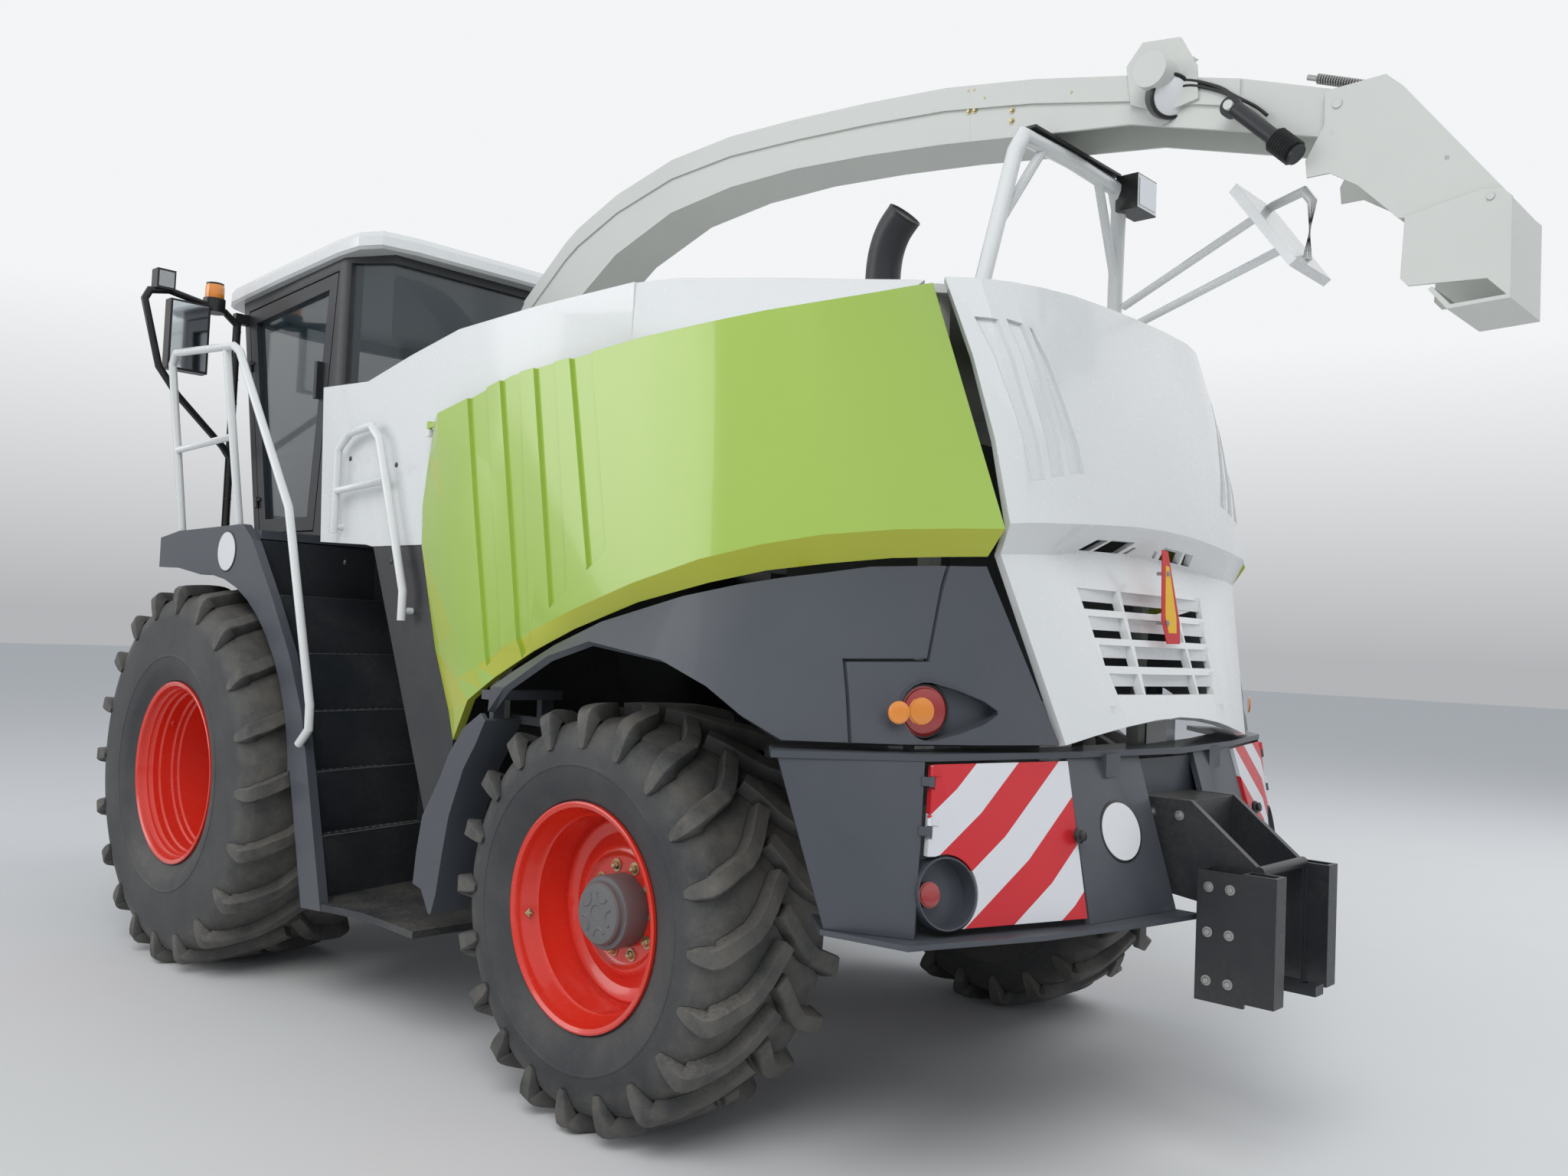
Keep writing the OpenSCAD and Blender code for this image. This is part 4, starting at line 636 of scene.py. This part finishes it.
# %% Outlines of rims and hubs
# Faces of the rim's sheet as (radius, place along the axle), seen from outside and from inside
REAR_OUTER = [(378, 266), (372, 268), (358, 262), (352, 247), (350, 236), (345, 229), (340, 205), (334, 197),
              (332, 188), (326, 182), (318, 62), (312, 66), (303, 72), (296, 72), (262, 56), (232, 66),
              (222, 74), (206, 84), (199, 84), (193, 78), (184, 67), (176, 65), (122, 65)]
REAR_BACK = [(122, 50), (255, 42), (262, 40), (300, 48), (310, 40), (318, -60), (326, -182), (340, -205),
             (352, -247), (372, -268), (378, -266)]
FRONT_OUTER = [(429, 355), (423, 357), (409, 351), (403, 336), (401, 322), (393, 314), (391, 296), (384, 288),
               (383, 262), (375, 254), (374, 206), (366, 198), (366, 178), (358, 170), (352, -2), (346, -12),
               (300, -34), (250, -20), (240, -14), (230, -14), (222, -26), (150, -30)]
FRONT_BACK = [(150, -44), (300, -50), (340, -30), (352, -60), (366, -180), (391, -296), (403, -336),
              (423, -357), (429, -355)]
HUB_LINES = {"rear": [(121, 30), (125, 48), (125, 150), (121, 158), (107, 160), (105, 166), (105, 176),
                      (99, 184), (60, 188), (30, 188), (28, 185), (0, 185)],
             "front": [(172, -60), (172, -10), (160, -2), (150, 0), (150, 40), (140, 52), (100, 56), (0, 58)]}
# Radius of the bolts' ring, place along the axle and angle of the first bolt
BOLT_RINGS = {"rear": (152, 65, 0.31), "front": (205, -27, 0.2)}
WHEEL_BOLTS, BOLT_SIZE = 10, 15


# %% Rims, hubs and wheel bolts


def sheet_of(front, back, seat, rim_w):
    """Outer face, inner face and the seats under the tyre as one closed profile."""
    edge = rim_w / 2
    half = [(seat + 24, edge), (seat + 2, edge - 6), (seat - 4, edge - 40), (seat - 14, edge - 62)]
    return front + back + [(radius, -x) for radius, x in half] + half[::-1]


def hub_marks(heap, centre, side, x, radius, count=5):
    """Raised ribs pressed into the hub's cover: one round bow for each planet gear."""
    bow_r = 27
    for k in range(count):
        mid = 2 * math.pi * (k + 0.3) / count
        way = []
        for a in range(-5, 6):
            w = mid + math.pi + a * 0.27
            y = radius * math.sin(mid) + bow_r * math.sin(w)
            z = radius * math.cos(mid) + bow_r * math.cos(w)
            way.append((side * (centre[0] + x), centre[1] + y, centre[2] + z))
        tube(heap, way, 4.5, 8)


def wheel_metal(kind, word, side):
    """Rim, hub, bolts and valve of one wheel."""
    centre, r, w, seat, rim_w = WHEELS[kind]
    body = f"{kind}_wheel_{word}"
    front, back = (REAR_OUTER, REAR_BACK) if kind == "rear" else (FRONT_OUTER, FRONT_BACK)
    rim = Heap()
    wheel_ring(rim, centre, side, sheet_of(front, back, seat, rim_w), 128)
    rim = rim.done(f"{kind}_rim_{word}_sheet", red, body, sharp=38, slot="wheel_red")
    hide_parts(f"{kind}_rim_{word}")
    axis, bolts, hub, valve = (side, 0, 0), Heap(), Heap(), Heap()
    middle = (side * centre[0], *centre[1:])
    turned(hub, middle, axis, HUB_LINES[kind], 48)
    if kind == "rear":
        hub_marks(hub, centre, side, 187, 74)
    ring, face, first = BOLT_RINGS[kind]
    for k in range(WHEEL_BOLTS):
        place = on_wheel(centre, side, face, ring, first + 2 * math.pi * k / WHEEL_BOLTS)
        if kind == "rear":
            bolt(bolts, place, axis, BOLT_SIZE)
            turned(bolts, place, axis, [(9, 0), (9, 19), (7, 21)], 12)
        else:
            turned(bolts, place, axis, [(20, 0), (20, 5)], 20)
            turned(bolts, place, axis, [(17, 5), (17, 22), (14, 24)], 6)
            turned(bolts, place, axis, [(10, 24), (10, 40), (8, 42)], 14)
    hub.done(f"{kind}_hub_{word}", hub_grey, body, sharp=30, slot="chassis_grey")
    plating = brass if kind == "rear" else black
    bolts.done(f"{kind}_wheel_bolts_{word}", plating, body, sharp=30, slot="roll_steel")
    # Valve in its square boss on the rolled ring, ahead of the axle
    ring, x, a = (338, 214, -1.72) if kind == "rear" else (378, 230, -0.98)
    place, inward = on_wheel(centre, side, x, ring, a), (side * 0.35, -math.sin(a), -math.cos(a))
    for wide, low, high, sides in ((17, -14, 5, 4), (7, 0, 13, 16), (4, 13, 30, 12)):
        turned(valve, place, inward, [(wide, low), (wide, high), (wide * 0.7, high + 2)], sides)
    cap = brass if kind == "rear" else red
    valve.done(f"{kind}_valve_{word}", cap, body, sharp=30, slot="roll_steel")


for kind in WHEELS:
    for side, word in SIDES:
        wheel_metal(kind, word, side)

# %% [markdown]
# ## A painted reflection, and striped foil
# The green side panel looks yellower under its lowest crease, where it reflects the light. The faces there
# could get a material of their own, but the CAD mesh isn't edited, so the finish paints that reflection in as
# a second, yellower colour where the face leans down. The rear lids carry striped foil, which is a rule too:
# the distance across the stripes decides between red and white.

# %% A second colour by rule


def leaning_down(made, links):
    """1 on faces that look a little down, where the painted reflection goes."""
    facing = add_node(made, "SeparateXYZ")
    links.new(add_node(made, "NewGeometry").outputs["True Normal"], facing.inputs[0])
    return ramp(made, links, facing.outputs["Z"], -0.05, -0.09)


def stripes(side, node, start, width=0.2):
    """1 on every second stripe; the stripes climb at 37 degrees towards the middle of the machine."""
    across = Vector((side * 0.598, 0, 0.801))
    shift = across.dot(node.matrix_world.translation) - start

    def rule(made, links):
        where = add_node(made, "TexCoord").outputs["Object"]
        along = add_node(made, "VectorMath", operation="DOT_PRODUCT")
        along.inputs[1].default_value = across
        links.new(where, along.inputs[0])
        value = along.outputs["Value"]
        for operation, second in (("ADD", shift), ("DIVIDE", width), ("FRACT", 0), ("LESS_THAN", 0.5)):
            step = add_node(made, "Math", {1: second}, operation=operation)
            links.new(value, step.inputs[0])
            value = step.outputs[0]
        return value
    return rule


PAINTED_REFLECTION_YELLOW, FOIL_RED = (0.46, 0.50, 0.02), (0.60, 0.022, 0.03)
# Painted reflection: the green panels turn yellower where their faces lean down
paint_over(green, PAINTED_REFLECTION_YELLOW, leaning_down)
for side, word in SIDES:
    lid = nodes["bumper_door_" + word]
    foil = finish("striped_foil_" + word, (0.72, 0.73, 0.75), rough=0.32, dust=0.05, round_mm=1)
    dress(paint_over(foil, FOIL_RED, stripes(side, lid, 1.631)), lid.name)
print("striped lids", len(SIDES))

# %% [markdown]
# The rear lamps sit in deep cups. Each glass is turned like the real one, with a rim and a shallow dome. One
# small function walks from the cup's own drawing to the machine's, so that every lamp can be drawn as if it
# lay flat on the table.

# %% Lamps and reflectors on both sides


def laid(spot, turn, tilt=90):
    """Function from a lamp's flat drawing to the machine's drawing."""
    c, s = math.cos(math.radians(turn)), math.sin(math.radians(turn))
    ct, st = math.cos(math.radians(tilt)), math.sin(math.radians(tilt))

    def go(x, y, z):
        u, v, w = -x, z * st - y * ct, y * st + z * ct
        return (spot[0] + u * c - v * s, spot[1] + u * s + v * c, spot[2] + w)
    return go


def way_of(go):
    a, b = Vector(go(0, 0, 0)), Vector(go(0, 0, 1))
    return b - a


def flip_x(point, side):
    return (point[0] * side, point[1], point[2])


def lens(name, spot, axis, radius, mat, body="machine", depth=14):
    """Round lamp glass with a rim and a shallow dome."""
    heap = Heap()
    shares = [(1.1, 0), (1.1, 0.55), (1, 0.62), (0.97, 0.8), (0.7, 0.96), (0.3, 1)]
    turned(heap, spot, axis, [(radius * wide, depth * deep) for wide, deep in shares], 40)
    return heap.done(name, mat, body)


pod = laid((1094, 4030, 1455), -25.6)
cup = laid((1135, 4149, 948), -17.7, 80)
HOUSING = [(84, 0), (84, 26), (80, 32), (76, 32), (72, 20), (60, 12)]
LATCH = [(24, 0), (24, 8), (17, 12), (17, 22), (12, 24)]
for side, word in SIDES:
    face = flip_x(way_of(pod), side)
    heap = Heap()
    turned(heap, flip_x(pod(0, 0, -54), side), face, HOUSING, 48)
    heap.done("tail_lamp_body_" + word, plastic)
    lens("tail_lamp_glass_" + word, flip_x(pod(0, 0, -40), side), face, 69, lens_red, depth=24)
    lens("turn_lamp_glass_" + word, flip_x(pod(-10, 0, -24), side), face, 40, lens_amber, depth=12)
    corner, outward = (side * 1206, 4008, 1453), (side * 0.48, 0.88, 0)
    lens("side_reflector_" + word, corner, outward, 30, lens_amber, depth=10)
    sight = flip_x(way_of(cup), side)
    lens("cup_lamp_" + word, flip_x(cup(-46, 0, -25), side), sight, 33, lens_red, depth=14)
    heap = Heap()
    turned(heap, (side * 648, 4282, 1090), (0, 1, 0.2), LATCH, 24)
    heap.done("lid_latch_" + word, plastic, "rear_door_" + word)

# %% [markdown]
# The triangle plate marks a slow vehicle. It stands off the hood on two bolts and is bare: a yellow field
# inside a red rim. The round plates on the bumper and on the front skirts are bare too. Their white fields
# are laid on as thin discs.

# %% Triangle and speed plates
outline = [(62, 2010), (22, 2006), (-72, 1762), (-76, 1690), (18, 1688), (60, 1770)]


def on_hood(x, z, out):
    return (x, 4232 + (2000 - z) * 0.02 + out, z)


heap = Heap()
slab(heap, [on_hood(x, z, 0) for x, z in outline], (0, 4, 0))
heap.done("triangle_plate", foil_red)
heap = Heap()
middle = (sum(x for x, z in outline) / 6, sum(z for x, z in outline) / 6)
inner = [(middle[0] + (x - middle[0]) * 0.62, middle[1] + (z - middle[1]) * 0.72) for x, z in outline]
slab(heap, [on_hood(x, z, 4.2) for x, z in inner], (0, 1, 0))
heap.done("triangle_field", sign_yellow)
heap = Heap()
for z in (1930, 1760):
    bolt(heap, on_hood(24, z, 5), (0, 1, 0), 7)
    turned(heap, on_hood(24, z, -34), (0, 1, 0), [(6, 0), (6, 38)], 12)
heap.done("triangle_bolts", steel)
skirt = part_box("platform_left")[1][0] * 1000
# Name, centre, direction and how far it stands out
plates = [("speed_plate_rear", (400, 4275, 1080), (0.17, 0.95, 0.26), 19),
          ("speed_plate_left", (skirt, 222, 1953), (1, 0, 0), 0),
          ("speed_plate_right", (-skirt, 222, 1953), (-1, 0, 0), 0)]
PLATE_R, FIELD_R = 98, 91
for name, spot, axis, out in plates:
    heap = Heap()
    turned(heap, spot, axis, [(PLATE_R, out + 0.3), (PLATE_R, out + 2), (PLATE_R - 2, out + 3)], 64)
    heap.done(name + "_rim", plastic)
    heap = Heap()
    turned(heap, spot, axis, [(FIELD_R, out + 3.1), (FIELD_R, out + 3.8)], 64)
    heap.done(name + "_field", foil_white)

# %% [markdown]
# ## The chute's fittings
# The chute is bolted together from folded sheets. On its left side hang a work lamp on a plate, cables, and
# a small cylinder with a rubber bellows that guards the rod. The bellows' folds are only an outline that
# goes in and out. All of it rides on the chute's own bodies, so it moves with the chute.

# %% Bolts along the chute's seams
SEAM_BOLTS = ((3440, 3792), (3440, 3715), (3412, 3795), (3412, 3718))
LAP_BOLTS = ((3610, 3672), (3610, 3632), (3489, 3747), (3868, 3671))
heap = Heap()
for side in (1, -1):
    for y, z in SEAM_BOLTS + LAP_BOLTS:
        bolt(heap, (side * 136, y, z), (side, 0, 0), 8)
heap.done("chute_bolts", brass, "chute")

# %% Work lamp, cables and bellows
LAMP_AT, LAMP_LOOKS = (146, 4238, 3560), (0.55, 0.75, -0.35)
heap = Heap()
shell = [(30, -40), (62, -30), (74, 0), (76, 44), (72, 50), (66, 50), (64, 40)]
turned(heap, LAMP_AT, LAMP_LOOKS, shell, 40)
tube(heap, [(132, 4215, 3600), (150, 4225, 3590), (160, 4238, 3570)], 12)
heap.done("chute_lamp", plastic, "chute")
heap = Heap()
turned(heap, LAMP_AT, LAMP_LOOKS, [(64, 40), (62, 46), (40, 52), (10, 54)], 40)
heap.done("chute_lamp_glass", foil_white, "chute")
heap = Heap()
plate = [(4150, 3640), (4160, 3700), (4200, 3722), (4300, 3700), (4350, 3660), (4290, 3640), (4250, 3470),
         (4215, 3462), (4165, 3510)]
slab(heap, [(137, y, z) for y, z in plate], (5, 0, 0))
heap.done("chute_lamp_plate", pale, "chute")
heap = Heap()
tube(heap, [(150, 4260, 3600), (150, 4330, 3590), (150, 4430, 3540), (152, 4480, 3500), (156, 4560, 3440),
            (160, 4600, 3400)], 6, 10, 6)
tube(heap, [(150, 4250, 3575), (150, 4330, 3572), (150, 4430, 3528), (152, 4480, 3492)], 6, 10, 6)
heap.done("chute_cables", plastic, "chute")
heap = Heap()
folds = [(42 if k % 2 else 36, 6 + k * 5) for k in range(18)]
turned(heap, (195, 4640, 3305), (0, 75, -73), folds, 24)
heap.done("rod_bellows", plastic, "tip_cylinder")
heap = Heap()
arm = [(4790, 3318), (4812, 3316), (5150, 3164), (5262, 3044), (5236, 3018), (5130, 3124), (4800, 3274),
       (4784, 3290)]
slab(heap, [(137, y, z) for y, z in arm], (6, 0, 0))
for y, z in ((4806, 3296), (5140, 3142)):
    bolt(heap, (143, y, z), (1, 0, 0), 10)
heap.done("flap_link", pale, "chute_tip")

# %% [markdown]
# ## Mirrors, lamps and beacons
# A mirror is a black shell with the glass set back in its rim. The beacons are turned like the rear lamps,
# and the small lamps beside the mirrors and on the light frame have flat glasses.

# %% Mirror glass, beacons and front lamps


def upright(heap, x, y, z, thick, side=1):
    """Flat glass that faces the rear: spans across and up, place of its front face and thickness."""
    corners = ((x[0], z[0]), (x[1], z[0]), (x[1], z[1]), (x[0], z[1]))
    slab(heap, [(side * across, y, up) for across, up in corners], (0, thick, 0))


for side, word in SIDES:
    heap = Heap()
    upright(heap, (1120, 1316), -1084.5, (3019, 3388), 1.5, side)
    heap.done("mirror_glass_" + word, mirror_face)
    heap = Heap()
    turned(heap, (side * 1060, -1160, 3456), (0, 0, 1), [(50, 0), (52, 6), (52, 70), (46, 90), (30, 98)], 32)
    heap.done("beacon_glass_" + word, lens_amber)
    heap = Heap()
    upright(heap, (1320, 1400), -1079.5, (3452, 3538), 2, side)
    heap.done("mirror_lamp_glass_" + word, clear)
heap = Heap()
upright(heap, (-468, -342), 3890.5, (3392, 3498), 2)
heap.done("frame_lamp_glass", mirror_face)
heap = Heap()
box_at(heap, (-482, 3796, 3376), (-328, 3889, 3514))
slab(heap, [(300, 3762, 3506), (300, 3822, 3506), (-320, 3822, 3506), (-320, 3762, 3506)], (0, 0, 10))
heap.done("frame_lamp_shell", plastic)

# %% [markdown]
# ## Driver's seat
# A seat is foam under tight cloth: its faces swell and its edges roll over. The CAD block that stood for
# the seat gives way to these pieces.

# %% Cushions
AROUND, OVER, SWELL = 40, 20, 0.16


def cushion(name, centre, size, tilt=0.0):
    """Foam cushion: a superellipse in plan and section that swells in the middle."""
    c, s = math.cos(tilt), math.sin(tilt)
    rings = []
    for j in range(OVER + 1):
        b = -math.pi / 2 + math.pi * j / OVER
        ring = []
        for i in range(AROUND):
            a = 2 * math.pi * i / AROUND
            shape = [math.copysign(abs(v) ** 0.32, v) for v in (math.cos(a), math.sin(a))]
            part = abs(math.cos(b)) ** 0.4
            x, y = shape[0] * part, shape[1] * part
            z = math.copysign(abs(math.sin(b)) ** 0.55, b) * (1 + SWELL * (1 - x * x) * (1 - y * y))
            across, back, up = (v * length / 2 for v, length in zip((x, y, z), size))
            back, up = back * c - up * s, back * s + up * c
            ring.append(at((centre[0] + across, centre[1] + back, centre[2] + up)))
        rings.append(ring)
    heap = Heap()
    heap.rings(rings)
    made = heap.done(name, cloth, sharp=60)
    return made


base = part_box("driver_seat")[0][2] * 1000
LEAN = math.radians(84)
seat = cushion("seat_cushion", (0, -430, base + 395), (520, 480, 120))
cushion("seat_back", (0, -150, base + 800), (480, 600, 120), LEAN)
cushion("seat_head_pad", (0, -105, base + 1070), (280, 110, 90), LEAN)
for side, word in SIDES:
    cushion("arm_rest_" + word, (side * 300, -420, base + 610), (80, 330, 55))
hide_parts("driver_seat")

# %% Seat frame with its folded dust cover
FOLDS, FOLD_H = 7, 32
heap = Heap()
box_at(heap, (-140, -560, base), (140, -260, base + 90))
for k in range(FOLDS):
    z, out = base + 90 + k * FOLD_H, (k % 2) * 14
    box_at(heap, (-130 - out, -550 - out, z), (130 + out, -270 + out, z + FOLD_H - 1))
box_at(heap, (-200, -600, base + 312), (200, -230, base + 334))
for side in (1, -1):
    way = [(side * 200, -420, base + 325), (side * 300, -300, base + 400), (side * 300, -300, base + 590)]
    tube(heap, way, 14, 10, 4)
heap.done("seat_frame", plastic)

# %% [markdown]
# ## Exhaust, stair and hitch
# The exhaust is one bent pipe, so it is swept along its bend, and only the rim at its mouth and the foot are
# turned. The treads of the stair get a lighter strip along the folded edge, which is a painted highlight, and
# a row of studs just behind it. The rows of bolts on the drawbar's posts are a guess.

# %% Exhaust
deck_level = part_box("exhaust_pipe")[0][2] * 1000
PIPE_X = 350
heap = Heap()
bend = [(3190, deck_level + 4), (3190, 2950), (3192, 3080), (3206, 3160), (3236, 3225), (3282, 3276)]
tube(heap, [(PIPE_X, y, z) for y, z in bend], 68, 40, 8)
turned(heap, (PIPE_X, 3190, deck_level), (0, 0, 1), [(105, 0), (105, 10), (98, 14), (72, 16)], 48)
exhaust = heap.done("exhaust_tube", black)
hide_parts("exhaust_pipe")
heap = Heap()
rim_line = [(68, -2), (69.5, 4), (68, 8), (63, 8), (61, 2), (58, 1.2)]
turned(heap, (PIPE_X, 3282, 3276), (0, 46, 51), rim_line, 48)
heap.done("exhaust_mouth", plastic)

# %% Tread edges, hitch bolts and plugs
STAIR_OUT, STAIR_IN, STUDS = 1462, 884, 14
# Place of each tread's edge at the outer and the inner end, and its height
TREADS = ((705, 555, 1750), (890, 745, 1495), (1035, 905, 1250), (1120, 975, 1001), (1200, 1050, 741))
# Each tread's edge gets a lighter strip, a painted highlight, and a row of studs behind it
heap = Heap()
for out_y, in_y, z in TREADS:
    edge = [(STAIR_OUT, out_y - 12), (STAIR_IN, in_y - 12), (STAIR_IN, in_y + 1.5), (STAIR_OUT, out_y + 1.5)]
    slab(heap, [(x, y, z + 0.6) for x, y in edge], (0, 0, 2.5))
    for k in range(STUDS):
        t = (k + 0.5) / STUDS
        x, y = STAIR_OUT + (STAIR_IN - STAIR_OUT) * t, out_y + (in_y - out_y) * t
        turned(heap, (x, y - 60, z + 0.4), (0, 0, 1), [(9, 0), (9, 2.4), (6, 3)], 10)
heap.done("tread_edges", tread_highlight)
heap = Heap()
for side in (1, -1):
    for y in (4520, 4590):
        for z in (640, 790, 930):
            bolt(heap, (side * 250, y, z), (side, 0, 0), 11)
    for y, z in ((4280, 930), (4280, 1130), (4380, 1130)):
        bolt(heap, (side * 176, y, z), (side, 0, 0), 11)
heap.done("hitch_bolts", steel)
heap = Heap()
for side in (1, -1):
    for y, z in ((1500, 2300), (1500, 1900), (1120, 2350), (1120, 1900)):
        turned(heap, (side * 1392.5, y, z), (side, 0, 0), [(11, -0.5), (11, 2), (7, 4)], 16)
heap.done("wall_plugs", plastic)

# %% [markdown]
# The cables along the mirror tubes are tied on with clips and can't hang, so each is a thin tube beside the
# steel one. The spring on the chute's end piece is a helix round its rod.

# %% Cables along the mirror tubes
CLIPS, CLIP_STEP, FIRST_CLIP = 9, 140, 2180
heap = Heap()
for side in (1, -1):
    tube(heap, [(side * 934, -1178, z) for z in (2120, 2700, 3330)], 4, 8)
    for k in range(CLIPS):
        spot = (side * 910, -1180, FIRST_CLIP + k * CLIP_STEP)
        turned(heap, spot, (0, 0, 1), [(21.5, 0), (21.5, 9)], 20)
heap.done("mirror_cables", plastic)

# %% Spring of the flap
PER_TURN = 12


def coil(heap, start, end, radius, wire, turns):
    """Helical spring between two points."""
    a, b = Vector(start), Vector(end)
    side, up = frame_of((b - a).normalized())
    way = []
    for k in range(turns * PER_TURN + 1):
        w = 2 * math.pi * k / PER_TURN
        mid = a.lerp(b, k / (turns * PER_TURN))
        way.append(mid + (side * math.cos(w) + up * math.sin(w)) * radius)
    tube(heap, way, wire, 6)


heap = Heap()
tube(heap, [(60, 4690, 3535), (60, 4830, 3478), (60, 4960, 3424)], 9, 10)
coil(heap, (60, 4720, 3523), (60, 4930, 3437), 14, 3, 26)
heap.done("flap_spring", steel, "chute_tip")
